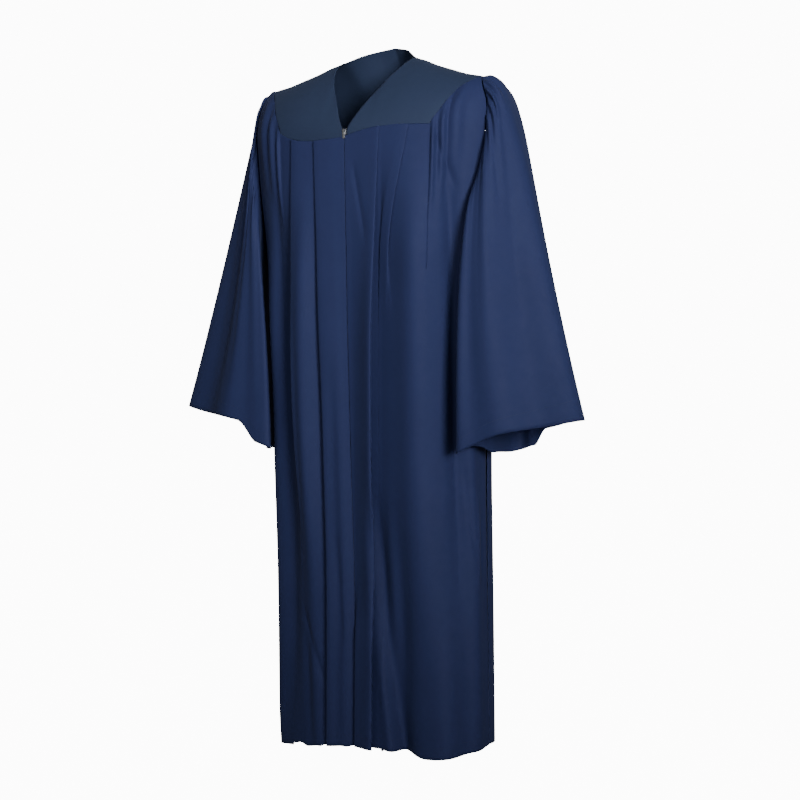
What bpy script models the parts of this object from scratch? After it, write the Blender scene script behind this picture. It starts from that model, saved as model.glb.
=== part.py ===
"""Graduation gown, empty and holding its worn shape.

Metres, +Z up. The front faces -Y and the wearer's left is +X. The origin is midway
between the shoulders, where the gown is held. Every cloth piece is a wall made from a
surface worked out below, with its seams 0.3 mm apart.
"""
import math

import bpy
import numpy as np

# Driving sizes
CLOTH_WALL = 0.0012
SEAM_GAP = 0.0003
SIDE_SEAM = 0.0003
TOP_GAP = 0.0010
SLEEVE_GAP = 0.0026
CHEST_HEIGHT = -0.150
HEM_HEIGHT = -1.352
SHOULDER_TIP_X = 0.2345
CENTRE_GAP = 0.0008
ZIP_SLOT = 0.0062
V_BASE_HEIGHT = -0.1515

# Horizontal sections of the body cloth: a rounded box, wider than deep
SECTION_POWER = 2.4
SECTIONS = (
    # height, half_width, front_depth, back_depth, shift_x, shift_y
    (-0.120, 0.275, 0.145, 0.118, 0.000, 0.000),
    (-0.170, 0.272, 0.146, 0.120, 0.000, 0.000),
    (-0.250, 0.265, 0.145, 0.124, 0.000, 0.000),
    (-0.360, 0.252, 0.142, 0.124, 0.000, 0.001),
    (-0.500, 0.242, 0.135, 0.124, -0.002, 0.002),
    (-0.750, 0.232, 0.124, 0.122, -0.005, 0.008),
    (-1.050, 0.230, 0.118, 0.122, -0.001, 0.012),
    (-1.400, 0.230, 0.122, 0.120, 0.002, 0.016),
)

# The line over the shoulders, from the middle of the neck to past the shoulder tip
SHOULDER_LINE = (
    # across, height, front_back, bend
    (0.000, 0.0340, 0.042, 1.35),
    (0.030, 0.0270, 0.032, 1.35),
    (0.045, 0.0200, 0.020, 1.35),
    (0.060, 0.0100, 0.004, 1.38),
    (0.080, -0.0035, -0.008, 1.42),
    (0.105, -0.0120, -0.010, 1.50),
    (0.130, -0.0225, -0.012, 1.58),
    (0.165, -0.0340, -0.014, 1.65),
    (0.200, -0.0450, -0.017, 1.70),
    (0.2345, -0.0525, -0.020, 1.75),
    (0.250, -0.0620, -0.021, 1.80),
    (0.264, -0.0880, -0.021, 1.80),
    (0.276, -0.1450, -0.021, 1.80),
)

# Neck edge of each front yoke, from the foot of the V up to the shoulder seam
NECK_FRONT = (
    # across, height
    (0.0062, -0.1515),
    (0.0150, -0.1330),
    (0.0350, -0.0960),
    (0.0510, -0.0700),
    (0.0620, -0.0500),
    (0.0775, -0.0170),
    (0.0800, -0.0035),
)

# Neck edge at the back, from the middle to the shoulder seam: how far down the back slope
NECK_BACK = (
    # across, down_slope
    (0.000, 0.140),
    (0.030, 0.130),
    (0.045, 0.110),
    (0.060, 0.080),
    (0.073, 0.040),
    (0.080, 0.000),
)

# Armhole edges, from the shoulder tip to the underarm
ARMHOLE_FRONT = (
    # across, height
    (0.2345, -0.0525),
    (0.2470, -0.0740),
    (0.2580, -0.1080),
    (0.2590, -0.1500),
    (0.2540, -0.2050),
    (0.2490, -0.2600),
    (0.2480, -0.3100),
    (0.2520, -0.3600),
)
ARMHOLE_BACK = (
    # across, height
    (0.2345, -0.0525),
    (0.2430, -0.0760),
    (0.2500, -0.1100),
    (0.2520, -0.1500),
    (0.2500, -0.2000),
    (0.2480, -0.2600),
    (0.2480, -0.3100),
    (0.2520, -0.3600),
)

# One knife pleat across the cloth: how far out along it, and how high in the stack
PLEAT_SHAPE = (
    # along, stack, flat
    (-1.55, 0.86, -1.90),
    (-0.80, 1.00, -1.30),
    (-0.14, 1.00, -0.75),
    (0.00, 0.80, -0.50),
    (-0.12, 0.60, -0.25),
    (-0.88, 0.50, 0.20),
    (-1.00, 0.30, 0.45),
    (-0.86, 0.06, 0.70),
    (-0.10, 0.00, 1.20),
    (0.60, 0.00, 1.70),
)

# The two pleats of each front. Fold edges are given across, from the middle of the front
PLEATS = {
    "left": (
        # top, high, middle, hem, depth_top, depth_hem, stack_top, stack_hem, opens_from, opens_by
        (0.0755, 0.0650, 0.0555, 0.0450, 0.0120, 0.0260, 0.0040, 0.0150, 9.0, 10.0),
        (0.1350, 0.0940, 0.0900, 0.0900, 0.0120, 0.0180, 0.0036, 0.0110, 0.10, 0.34),
    ),
    "right": (
        (0.0700, 0.0630, 0.0570, 0.0620, 0.0120, 0.0220, 0.0044, 0.0130, 9.0, 10.0),
        (0.1260, 0.1290, 0.1300, 0.1300, 0.0120, 0.0200, 0.0050, 0.0150, 0.40, 0.80),
    ),
}

# Each front yoke's lower seam, from the middle of the front to the corner
YOKE_SEAM = {
    "left": (
        # across, height
        (0.000, -0.1645),
        (0.035, -0.1560),
        (0.070, -0.1500),
        (0.120, -0.1475),
        (0.173, -0.1480),
    ),
    "right": (
        (0.000, -0.1660),
        (0.035, -0.1690),
        (0.080, -0.1710),
        (0.100, -0.1700),
        (0.120, -0.1665),
        (0.140, -0.1605),
        (0.158, -0.1520),
    ),
}

# Each front yoke's outer edge, from its lower corner to the shoulder tip
YOKE_EDGE = {
    "left": (
        # across, height
        (0.1730, -0.1480),
        (0.1830, -0.1310),
        (0.1960, -0.1060),
        (0.2090, -0.0790),
        (0.2345, -0.0525),
    ),
    "right": (
        (0.1580, -0.1520),
        (0.1680, -0.1330),
        (0.1860, -0.1060),
        (0.2060, -0.0790),
        (0.2345, -0.0525),
    ),
}
FLUTE_DEPTH = {"left": 0.0075, "right": 0.0050}
SIDE_SIGN = {"left": 1.0, "right": -1.0}

BACK_SEAM_HEIGHT = -0.142
BACK_FLUTES = 10
BACK_FLUTE_TOP = 0.0030
BACK_FLUTE_LOW = 0.0120
BACK_FADE_FROM = 0.60
BACK_FADE_BY = 0.94

# Soft folds and hollows of the fronts, measured along the cloth from the middle
BODY_FOLDS = {
    "left": (
        # along_top, along_hem, half_width, starts, full, fades, ends, out
        (0.150, 0.165, 0.042, -0.180, -0.420, -1.50, -1.60, 0.0150),
        (0.066, 0.074, 0.018, -0.220, -0.420, -1.15, -1.40, -0.0110),
        (0.214, 0.215, 0.015, -0.190, -0.280, -0.85, -1.15, -0.0090),
        (0.240, 0.250, 0.018, -0.300, -0.500, -1.30, -1.50, 0.0070),
        (0.034, 0.028, 0.012, -0.240, -0.480, -1.20, -1.40, -0.0050),
        (0.105, 0.125, 0.022, -0.820, -1.150, -1.50, -1.60, -0.0150),
        (0.175, 0.190, 0.026, -1.000, -1.300, -1.50, -1.60, 0.0130),
    ),
    "right": (
        (0.098, 0.098, 0.020, -0.200, -0.450, -1.30, -1.50, 0.0060),
        (0.165, 0.165, 0.024, -0.250, -0.450, -1.10, -1.40, -0.0090),
        (0.215, 0.215, 0.022, -0.300, -0.550, -1.30, -1.50, 0.0080),
        (0.034, 0.036, 0.012, -0.500, -0.800, -1.30, -1.40, -0.0040),
    ),
}

# How much lower the hem hangs than its mean height, along the front from the middle
HEM_DROP = {
    "left": ((0.00, 0.000), (0.05, 0.001), (0.09, 0.004), (0.16, 0.011), (0.22, 0.004), (0.30, -0.004)),
    "right": ((0.00, 0.000), (0.08, 0.010), (0.16, 0.024), (0.22, 0.032), (0.30, 0.034)),
}

# Rows of the long pieces, as fractions of the way down
LONG_ROWS = (0.0, 0.022, 0.05, 0.09, 0.14, 0.20, 0.28, 0.38, 0.50, 0.63, 0.76, 0.88, 1.0)

# Sleeves: stations round the armhole from the tip, down the front, and up the back.
# reach is how the cloth leaves the armhole, guide steers the middle, cuff is the hem
SLEEVE_STATIONS = {
    "left": (
        # turn, reach_x, reach_y, reach_z, guide_x, guide_y, guide_z, cuff_x, cuff_y, cuff_z
        (0.000, 0.0840, 0.000, 0.002, 0.3200, -0.020, -0.250, 0.4480, -0.030, -0.706),
        (0.125, 0.0550, -0.036, -0.020, 0.3000, -0.096, -0.330, 0.3900, -0.086, -0.717),
        (0.250, 0.0200, -0.056, -0.044, 0.2640, -0.132, -0.420, 0.3120, -0.126, -0.733),
        (0.375, -0.0200, -0.056, -0.040, 0.2300, -0.126, -0.500, 0.2340, -0.130, -0.769),
        (0.500, 0.0200, -0.010, -0.070, 0.2680, -0.030, -0.560, 0.2600, -0.040, -0.746),
        (0.625, 0.0140, 0.040, -0.060, 0.2640, 0.070, -0.520, 0.2660, 0.046, -0.748),
        (0.750, 0.0260, 0.048, -0.050, 0.2720, 0.100, -0.420, 0.3060, 0.066, -0.736),
        (0.875, 0.0440, 0.030, -0.024, 0.2950, 0.058, -0.330, 0.3880, 0.032, -0.715),
    ),
    "right": (
        (0.000, 0.0400, 0.000, -0.002, 0.3080, -0.015, -0.262, 0.4430, -0.030, -0.704),
        (0.125, 0.0140, -0.018, -0.035, 0.2640, -0.076, -0.330, 0.3780, -0.082, -0.711),
        (0.250, 0.0080, -0.034, -0.056, 0.2380, -0.108, -0.420, 0.2900, -0.112, -0.719),
        (0.375, -0.0140, -0.044, -0.050, 0.2000, -0.112, -0.500, 0.2000, -0.108, -0.744),
        (0.500, 0.0200, -0.010, -0.070, 0.2680, -0.030, -0.560, 0.2580, -0.030, -0.752),
        (0.625, 0.0140, 0.040, -0.060, 0.2640, 0.070, -0.520, 0.2640, 0.050, -0.754),
        (0.750, 0.0220, 0.046, -0.050, 0.2660, 0.100, -0.420, 0.3000, 0.070, -0.750),
        (0.875, 0.0320, 0.030, -0.024, 0.2860, 0.062, -0.330, 0.3780, 0.036, -0.728),
    ),
}

# Where the cuff hangs lower, as the cloth under the arm drops clear of the front hem
CUFF_DROPS = {
    # starts, full, fades, ends, drop
    "left": (0.440, 0.520, 0.755, 0.790, 0.0280),
    "right": (0.272, 0.322, 0.640, 0.780, 0.0320),
}
SLEEVE_ROWS = (0.0, 0.05, 0.11, 0.18, 0.26, 0.36, 0.47, 0.59, 0.71, 0.82, 0.92, 1.0)
SLEEVE_COLUMNS = 44

# The fronts' columns
FLUTES = 3
FLUTE_COLUMNS = 15
ARMHOLE_COLUMNS = 7

# The zip down the middle, its slider and its pull tab
TAPE_WIDTH = 0.0220
TAPE_WALL = 0.0010
TAPE_CLEARANCE = 0.0008
SLIDER_WIDTH = 0.0080
SLIDER_LENGTH = 0.0100
SLIDER_DEPTH = 0.0030
EAR_WIDTH = 0.0009
EAR_GAP = 0.0026
EAR_RADIUS = 0.0013
PIN_RADIUS = 0.00045
PIN_CLEARANCE = 0.0001
TAB_WIDTH = 0.0048
TAB_LENGTH = 0.0150
TAB_WALL = 0.0010


def column(table, index):
    return np.array([row[index] for row in table])


def lookup(x, table, index, key=0, falling=False):
    """Read one named column of a table at x."""
    keys = column(table, key)
    values = column(table, index)
    if falling:
        keys = -keys
        x = -np.asarray(x)
    return np.interp(x, keys, values)


def smooth(x, low, high):
    """0 below low, 1 above high, eased between."""
    t = np.clip((np.asarray(x, float) - low) / (high - low), 0.0, 1.0)
    return t * t * (3.0 - 2.0 * t)


def section(height, back):
    """Half width, depth and shifts of the body cloth at a height."""
    half_width = lookup(height, SECTIONS, 1, falling=True)
    depth = lookup(height, SECTIONS, 3 if back else 2, falling=True)
    shift_x = lookup(height, SECTIONS, 4, falling=True)
    shift_y = lookup(height, SECTIONS, 5, falling=True)
    return half_width, depth, shift_x, shift_y


QUARTER = np.linspace(0.0, 1.0, 121)


def quarter_curve(height, back):
    """Across, depth and running length of a quarter section, from the middle to the side."""
    half_width, depth, _, _ = section(height, back)
    turn = QUARTER * math.pi / 2.0
    across = half_width * np.sin(turn) ** (2.0 / SECTION_POWER)
    deep = depth * np.cos(turn) ** (2.0 / SECTION_POWER)
    steps = np.hypot(np.diff(across), np.diff(deep))
    run = np.concatenate([[0.0], np.cumsum(steps)])
    return across, deep, run


def run_at(x, height, back):
    """Running distance from the middle to a point that is x across."""
    across, _, run = quarter_curve(min(height, CHEST_HEIGHT), back)
    return float(np.interp(x, across, run))


def form_point(run_fraction, height, back):
    """A point on the body form, from a fraction of the quarter section and a height."""
    low = min(height, CHEST_HEIGHT)
    across, deep, run = quarter_curve(low, back)
    reach = np.clip(run_fraction, 0.0, 1.0) * run[-1]
    x = float(np.interp(reach, run, across))
    y = float(np.interp(reach, run, deep))
    _, _, shift_x, shift_y = section(low, back)
    if height > CHEST_HEIGHT:
        y = slope_depth(x, height, y, back)
    sign = 1.0 if back else -1.0
    return np.array([x, sign * y, height]), float(shift_x), float(shift_y)


def slope_depth(x, height, chest_depth, back):
    """Depth above the chest, where the cloth curves up to the line over the shoulders."""
    ridge = float(lookup(x, SHOULDER_LINE, 1))
    ridge_y = float(lookup(x, SHOULDER_LINE, 2)) * (1.0 if back else -1.0)
    bend = float(lookup(x, SHOULDER_LINE, 3))
    rise = np.clip((height - CHEST_HEIGHT) / (ridge - CHEST_HEIGHT), 0.0, 1.0)
    return ridge_y + (chest_depth - ridge_y) * (1.0 - rise ** bend) ** (1.0 / bend)


def slope_point(x, down, back):
    """A point x across and part way down from the shoulder line: 1 is the chest height."""
    chest, _, _ = form_point(run_at(x, CHEST_HEIGHT, back) / quarter_curve(CHEST_HEIGHT, back)[2][-1],
                             CHEST_HEIGHT, back)
    ridge = float(lookup(x, SHOULDER_LINE, 1))
    ridge_y = float(lookup(x, SHOULDER_LINE, 2))
    bend = float(lookup(x, SHOULDER_LINE, 3))
    if down > 1.0:
        height = CHEST_HEIGHT - (down - 1.0) * 0.2
        fraction = run_at(x, height, back) / quarter_curve(height, back)[2][-1]
        return form_point(fraction, height, back)[0]
    turn = down * math.pi / 2.0
    y = ridge_y + (chest[1] - ridge_y) * math.sin(turn) ** (2.0 / bend)
    height = CHEST_HEIGHT + (ridge - CHEST_HEIGHT) * math.cos(turn) ** (2.0 / bend)
    return np.array([x, y, height])


def down_at(x, height):
    """How far down from the shoulder line a height is: the inverse of slope_point."""
    if height < CHEST_HEIGHT:
        return 1.0 + (CHEST_HEIGHT - height) / 0.2
    ridge = float(lookup(x, SHOULDER_LINE, 1))
    bend = float(lookup(x, SHOULDER_LINE, 3))
    rise = np.clip((height - CHEST_HEIGHT) / (ridge - CHEST_HEIGHT), 0.0, 1.0)
    return math.acos(rise ** (bend / 2.0)) / (math.pi / 2.0)


def surface_normals(grid, closed=False):
    """Unit normals of a grid of points, from its neighbours along both ways."""
    if closed:
        across = np.roll(grid, -1, axis=1) - np.roll(grid, 1, axis=1)
    else:
        across = np.gradient(grid, axis=1)
    down = np.gradient(grid, axis=0)
    normal = np.cross(across, down)
    length = np.linalg.norm(normal, axis=2, keepdims=True)
    return normal / np.maximum(length, 1e-9)


def seam_height(side, x):
    """Height of a front yoke's lower seam."""
    return float(lookup(x, YOKE_SEAM[side], 1))


def yoke_edge(side, share):
    """The yoke's outer edge, from its lower corner (0) to the shoulder tip (1)."""
    x, height = along_table(YOKE_EDGE[side], share)
    return x, down_at(x, height)


def front_columns(side):
    """The columns of a front: where each starts, where it ends, and how it folds."""
    first, second = PLEATS[side]
    corner_x = YOKE_EDGE[side][0][0]
    hem_length = quarter_curve(HEM_HEIGHT, False)[2][-1]
    columns = []

    def add(kind, x, height, share=0.0, hem=0.0, pleat=None, shape=(0.0, 0.0, 0.0)):
        columns.append(dict(kind=kind, x=x, height=height, share=share, hem=hem, pleat=pleat,
                            along=shape[0], stack=shape[1], flat=shape[2]))

    for share in (0.0, 0.30, 0.62):
        x = CENTRE_GAP + (first[0] - 1.55 * first[4] - CENTRE_GAP) * share
        add("centre", x, seam_height(side, x), share)
    for shape in PLEAT_SHAPE:
        x = first[0] + shape[0] * first[4]
        add("pleat", x, seam_height(side, x), pleat=0, shape=shape)
    add("between", 0.5 * (first[0] + second[0]), seam_height(side, 0.5 * (first[0] + second[0])), 0.5)
    for shape in PLEAT_SHAPE:
        x = second[0] + shape[0] * second[4]
        add("pleat", x, seam_height(side, x), pleat=1, shape=shape)
    x = 0.5 * (second[0] + 0.6 * second[4] + corner_x)
    add("outer", x, seam_height(side, x), 0.5)
    for i in range(FLUTE_COLUMNS):
        share = i / FLUTE_COLUMNS
        x, down = yoke_edge(side, share)
        height = slope_point(x, down, False)[2]
        add("flute", x, height, share, 0.165 + 0.045 * share)
    for i in range(ARMHOLE_COLUMNS + 1):
        share = i / ARMHOLE_COLUMNS
        x, height = along_table(ARMHOLE_FRONT, share)
        add("armhole", x, height, share, 0.210 + (hem_length - 0.210) * share)
    return columns


def along_table(table, share):
    """A point part way along a table of points, by its rows."""
    place = share * (len(table) - 1)
    rows = np.arange(len(table))
    return float(np.interp(place, rows, column(table, 0))), float(np.interp(place, rows, column(table, 1)))


def soft_folds(side, run, height):
    """Outward lift of the broad folds at a place on a front."""
    lift = 0.0
    for top, hem, half_width, starts, full, fades, ends, out in BODY_FOLDS[side]:
        share = np.clip((CHEST_HEIGHT - height) / (CHEST_HEIGHT - HEM_HEIGHT), 0.0, 1.0)
        centre = top + (hem - top) * share
        along = math.exp(-((run - centre) / half_width) ** 2)
        down = float(smooth(-height, -starts, -full)) * (1.0 - float(smooth(-height, -fades, -ends)))
        lift += out * along * down
    return lift


def front_surface(side):
    """Points of a front: rows down, columns from the middle to the side seam."""
    columns = front_columns(side)
    rows = len(LONG_ROWS)
    runs = np.zeros((rows, len(columns)))
    heights = np.zeros_like(runs)
    lifts = np.zeros_like(runs)
    for j, item in enumerate(columns):
        drop = HEM_DROP[side]
        hem_run = item["hem"] if item["kind"] in ("flute", "armhole") else item["x"]
        hem = HEM_HEIGHT - float(np.interp(hem_run, column(drop, 0), column(drop, 1)))
        top = item["height"] - TOP_GAP
        if item["kind"] == "flute":
            top -= TOP_GAP
        for i, share in enumerate(LONG_ROWS):
            height = top + (hem - top) * share
            heights[i, j] = height
            length = quarter_curve(min(height, CHEST_HEIGHT), False)[2][-1]
            if item["kind"] == "pleat":
                top_x, high_x, mid_x, hem_x, deep_top, deep_hem, stack_top, stack_hem, opens, opened = \
                    PLEATS[side][item["pleat"]]
                edge = float(np.interp(-height, (-top, 0.40, 0.75, -hem), (top_x, high_x, mid_x, hem_x)))
                deep = deep_top + (deep_hem - deep_top) * float(smooth(share, 0.0, 0.7))
                stack = stack_top + (stack_hem - stack_top) * float(smooth(share, 0.0, 0.35))
                folded = 1.0 - float(smooth(share, opens, opened))
                along = folded * item["along"] + (1.0 - folded) * item["flat"]
                runs[i, j] = (edge + deep * along) / length
                lifts[i, j] = stack * item["stack"] * folded
            elif item["kind"] in ("flute", "armhole"):
                top_length = quarter_curve(min(top, CHEST_HEIGHT), False)[2][-1]
                start = run_at(item["x"], top, False) / top_length
                end = item["hem"] / quarter_curve(hem, False)[2][-1]
                first = float(smooth(0.0, -0.15, 1.0))
                eased = (float(smooth(share, -0.15, 1.0)) - first) / (1.0 - first)
                runs[i, j] = start + (end - start) * eased
                if item["kind"] == "flute":
                    wave = 0.5 - 0.5 * math.cos(2.0 * math.pi * FLUTES * item["share"])
                    grows = 0.30 + 0.70 * float(smooth(share, 0.0, 0.03))
                    fades = 1.0 - float(smooth(share, 0.05, 0.17))
                    lifts[i, j] = FLUTE_DEPTH[side] * wave * grows * fades
    kinds = [item["kind"] for item in columns]
    first_pleat = kinds.index("pleat")
    between = kinds.index("between")
    outer = kinds.index("outer")
    flute = kinds.index("flute")
    for i in range(rows):
        length = quarter_curve(min(heights[i, 0], CHEST_HEIGHT), False)[2][-1]
        for j in range(first_pleat):
            start = CENTRE_GAP / length
            runs[i, j] = start + (runs[i, first_pleat] - start) * columns[j]["share"]
        runs[i, between] = 0.5 * (runs[i, between - 1] + runs[i, between + 1])
        runs[i, outer] = 0.5 * (runs[i, outer - 1] + runs[i, flute])
    grid = np.zeros((rows, len(columns), 3))
    for i in range(rows):
        for j in range(len(columns)):
            point, shift_x, shift_y = form_point(runs[i, j], heights[i, j], False)
            length = quarter_curve(min(heights[i, j], CHEST_HEIGHT), False)[2][-1]
            settled = smooth(LONG_ROWS[i], 0.0, 0.05)
            lifts[i, j] += soft_folds(side, runs[i, j] * length, heights[i, j]) * settled
            if j == len(columns) - 1:
                point[1] -= SIDE_SEAM
            grid[i, j] = (SIDE_SIGN[side] * point[0] + shift_x, point[1] + shift_y, point[2])
    base = np.zeros_like(grid)
    for i in range(rows):
        steady = np.maximum.accumulate(runs[i])
        steady = steady + np.arange(len(columns)) * 1e-5
        for j in range(len(columns)):
            point, shift_x, shift_y = form_point(min(steady[j], 0.9995), heights[i, j], False)
            ahead, _, _ = form_point(min(steady[j] + 0.01, 1.0), heights[i, j], False)
            behind, _, _ = form_point(min(steady[j] + 0.01, 1.0) - 0.02, heights[i, j], False)
            low, _, _ = form_point(min(steady[j], 0.9995), heights[i, j] - 0.004, False)
            across = ahead - behind
            down = low - point
            normal = np.cross(down, across)
            normal /= max(np.linalg.norm(normal), 1e-9)
            base[i, j] = (SIDE_SIGN[side] * normal[0], normal[1], normal[2])
    return grid + base * lifts[:, :, None]


def back_surface():
    """Points of the back: rows down, columns from the wearer's right side to the left."""
    columns = []
    seam_x, _ = armhole_back_at(BACK_SEAM_HEIGHT)
    across = 6 * BACK_FLUTES
    arm = 5
    hem_length = quarter_curve(HEM_HEIGHT, True)[2][-1]
    for i in range(across + 1):
        side_to_side = 2.0 * i / across - 1.0
        top = BACK_SEAM_HEIGHT - SEAM_GAP
        columns.append((seam_x * side_to_side, top, 0.80 * hem_length * side_to_side, i / across))
    for i in range(1, arm + 1):
        share = i / arm
        height = BACK_SEAM_HEIGHT + (ARMHOLE_BACK[-1][1] - BACK_SEAM_HEIGHT) * share
        x, _ = armhole_back_at(height)
        hem = hem_length * (0.80 + 0.20 * share)
        columns.append((x, height, hem, 1.0 + share))
        columns.insert(0, (-x, height, -hem, -share))
    grid = np.zeros((len(LONG_ROWS), len(columns), 3))
    for j, (x, top, hem_run, turn) in enumerate(columns):
        sign = -1.0 if x < 0 else 1.0
        start = run_at(abs(x), top, True) / quarter_curve(min(top, CHEST_HEIGHT), True)[2][-1]
        end = abs(hem_run) / hem_length
        side_share = 0.5 - 0.5 * hem_run / hem_length
        hem = HEM_HEIGHT - HEM_DROP["left"][-1][1] * (1.0 - side_share)
        hem -= HEM_DROP["right"][-1][1] * side_share
        for i, share in enumerate(LONG_ROWS):
            height = top + (hem - top) * share
            run = start + (end - start) * share
            point, shift_x, shift_y = form_point(min(run, 1.0), height, True)
            near, _, _ = form_point(min(run + 0.01, 1.0), height, True)
            far, _, _ = form_point(min(run + 0.01, 1.0) - 0.02, height, True)
            tangent = near - far
            outward = np.array([-tangent[1], tangent[0], 0.0])
            if outward[1] < 0:
                outward = -outward
            outward /= max(np.linalg.norm(outward), 1e-9)
            if run > 0.97:
                outward = np.array([1.0, 0.0, 0.0])
            off_middle = abs(2.0 * min(max(turn, 0.0), 1.0) - 1.0)
            fade = 1.0 - float(smooth(off_middle, BACK_FADE_FROM, BACK_FADE_BY))
            depth = BACK_FLUTE_TOP + (BACK_FLUTE_LOW - BACK_FLUTE_TOP) * float(smooth(share, 0.0, 0.5))
            uneven = 1.0 + 0.25 * math.sin(7.0 * turn + 1.0) + 0.15 * math.sin(17.0 * turn)
            wave = 0.5 - 0.5 * math.cos(2.0 * math.pi * BACK_FLUTES * turn)
            lift = depth * wave * fade * uneven if 0.0 <= turn <= 1.0 else 0.0
            point = point + outward * lift
            if j in (0, len(columns) - 1):
                point[1] += SIDE_SEAM
            grid[i, j] = (sign * point[0] + shift_x, point[1] + shift_y, point[2])
    return grid


def armhole_back_at(height):
    """Across position of the back armhole edge at a height, below its widest point."""
    heights = column(ARMHOLE_BACK, 1)
    x = float(np.interp(-height, -heights, column(ARMHOLE_BACK, 0)))
    return x, height


def front_yoke_surface(side):
    """Points of a front yoke: rows up from its lower seam, columns from the neck outwards."""
    rows = (0.0, 0.08, 0.22, 0.38, 0.54, 0.68, 0.82, 0.93, 1.0)
    columns = 16
    neck_rows = (0.0, 0.08, 0.20, 0.45, 0.61, 0.74, 0.94, 1.0)
    neck_x = [ZIP_SLOT] + [row[0] for row in NECK_FRONT]
    neck_z = [seam_height(side, ZIP_SLOT)] + [row[1] for row in NECK_FRONT]
    grid = np.zeros((len(rows), columns + 1, 3))
    for i, up in enumerate(rows):
        inner_x = float(np.interp(up, neck_rows, neck_x))
        inner_z = float(np.interp(up, neck_rows, neck_z))
        inner_down = down_at(inner_x, inner_z)
        outer_x, outer_down = yoke_edge(side, up)
        for j in range(columns + 1):
            share = j / columns
            x = inner_x + (outer_x - inner_x) * share
            down = inner_down + (outer_down - inner_down) * share
            if i == 0:
                down = down_at(x, seam_height(side, x))
            point = slope_point(x, max(down, 0.0), False)
            if i == len(rows) - 1:
                point[1] -= 0.0005
            grid[i, j] = (SIDE_SIGN[side] * point[0], point[1], point[2])
    return grid


def back_yoke_surface():
    """Points of the back yoke: rows down from the neck and shoulder seams."""
    rows = (0.0, 0.07, 0.18, 0.32, 0.48, 0.66, 0.84, 1.0)
    half = 14
    grid = np.zeros((len(rows), 2 * half + 1, 3))
    seam_x, _ = armhole_back_at(BACK_SEAM_HEIGHT)
    for j in range(2 * half + 1):
        share = abs(j - half) / half
        sign = -1.0 if j < half else 1.0
        top_x = SHOULDER_TIP_X * share ** 1.05
        low_x = seam_x * share
        start = float(np.interp(top_x, column(NECK_BACK, 0), column(NECK_BACK, 1)))
        for i, down in enumerate(rows):
            x = top_x + (low_x - top_x) * down
            if share == 1.0:
                height = ARMHOLE_BACK[0][1] + (BACK_SEAM_HEIGHT - ARMHOLE_BACK[0][1]) * down ** 1.3
                x, _ = armhole_back_at(height)
            end = down_at(low_x, BACK_SEAM_HEIGHT)
            point = slope_point(x, start + (end - start) * down, True)
            if i == 0 and top_x >= 0.079:
                point[1] += 0.0005
            if i == len(rows) - 1:
                point[2] = BACK_SEAM_HEIGHT
            grid[i, j] = (sign * point[0], point[1], point[2])
    return grid


def round_table(turn, table, index):
    """Smooth closed curve through one column of a table whose first column is the turn."""
    keys = column(table, 0)
    values = column(table, index)
    count = len(keys)
    place = (turn % 1.0) * count
    k = int(math.floor(place)) % count
    t = place - math.floor(place)
    a, b, c, d = (values[(k + n) % count] for n in (-1, 0, 1, 2))
    return b + 0.5 * t * (c - a + t * (2.0 * a - 5.0 * b + 4.0 * c - d + t * (3.0 * (b - c) + d - a)))


def armhole_point(turn):
    """A point on the armhole edge: 0 at the shoulder tip, 0.5 under the arm, front first."""
    if turn <= 0.5:
        x, height = along_table(ARMHOLE_FRONT, turn * 2.0)
        back = False
    else:
        x, height = along_table(ARMHOLE_BACK, (1.0 - turn) * 2.0)
        back = True
    if height >= float(lookup(x, SHOULDER_LINE, 1)):
        return np.array([x, float(lookup(x, SHOULDER_LINE, 2)), height])
    fraction = run_at(x, height, back) / quarter_curve(min(height, CHEST_HEIGHT), back)[2][-1]
    point, shift_x, shift_y = form_point(fraction, height, back)
    return point + np.array([shift_x, shift_y, 0.0])


def sleeve_surface(side):
    """Points of a sleeve: rows from the armhole down to the cuff, columns round it."""
    grid = np.zeros((len(SLEEVE_ROWS), SLEEVE_COLUMNS, 3))
    for j in range(SLEEVE_COLUMNS):
        turn = j / SLEEVE_COLUMNS
        start = armhole_point(turn) + np.array([SLEEVE_GAP, 0.0, 0.0])
        reach = np.array([round_table(turn, SLEEVE_STATIONS[side], n) for n in (1, 2, 3)])
        guide = np.array([round_table(turn, SLEEVE_STATIONS[side], n) for n in (4, 5, 6)])
        cuff = np.array([round_table(turn, SLEEVE_STATIONS[side], n) for n in (7, 8, 9)])
        starts, full, fades, ends, drop = CUFF_DROPS[side]
        cuff[2] -= drop * float(smooth(turn, starts, full)) * (1.0 - float(smooth(turn, fades, ends)))
        for i, s in enumerate(SLEEVE_ROWS):
            grid[i, j] = ((1 - s) ** 3 * start + 3 * s * (1 - s) ** 2 * (start + reach)
                          + 3 * s * s * (1 - s) * guide + s ** 3 * cuff)
    normals = surface_normals(grid, closed=True)
    middle = grid.mean(axis=1, keepdims=True)
    if (normals * (grid - middle)).sum() < 0:
        normals = -normals
    for j in range(SLEEVE_COLUMNS):
        turn = j / SLEEVE_COLUMNS
        for i, s in enumerate(SLEEVE_ROWS):
            top = 1.0 - abs(((turn + 0.5) % 1.0) - 0.5) / 0.5
            head = smooth(top, 0.35, 0.75) * smooth(s, 0.0, 0.06) * (1.0 - smooth(s, 0.10, 0.34))
            gathers = 0.0032 * math.cos(2.0 * math.pi * 22.0 * turn) * head
            outer = smooth(abs(turn - 0.5), 0.14, 0.24)
            hang = 0.0075 * math.sin(2.0 * math.pi * 5.0 * turn + 0.6) * smooth(s, 0.25, 0.9) * outer
            grid[i, j] += normals[i, j] * (gathers + hang)
    grid[:, :, 0] *= SIDE_SIGN[side]
    return grid


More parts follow.
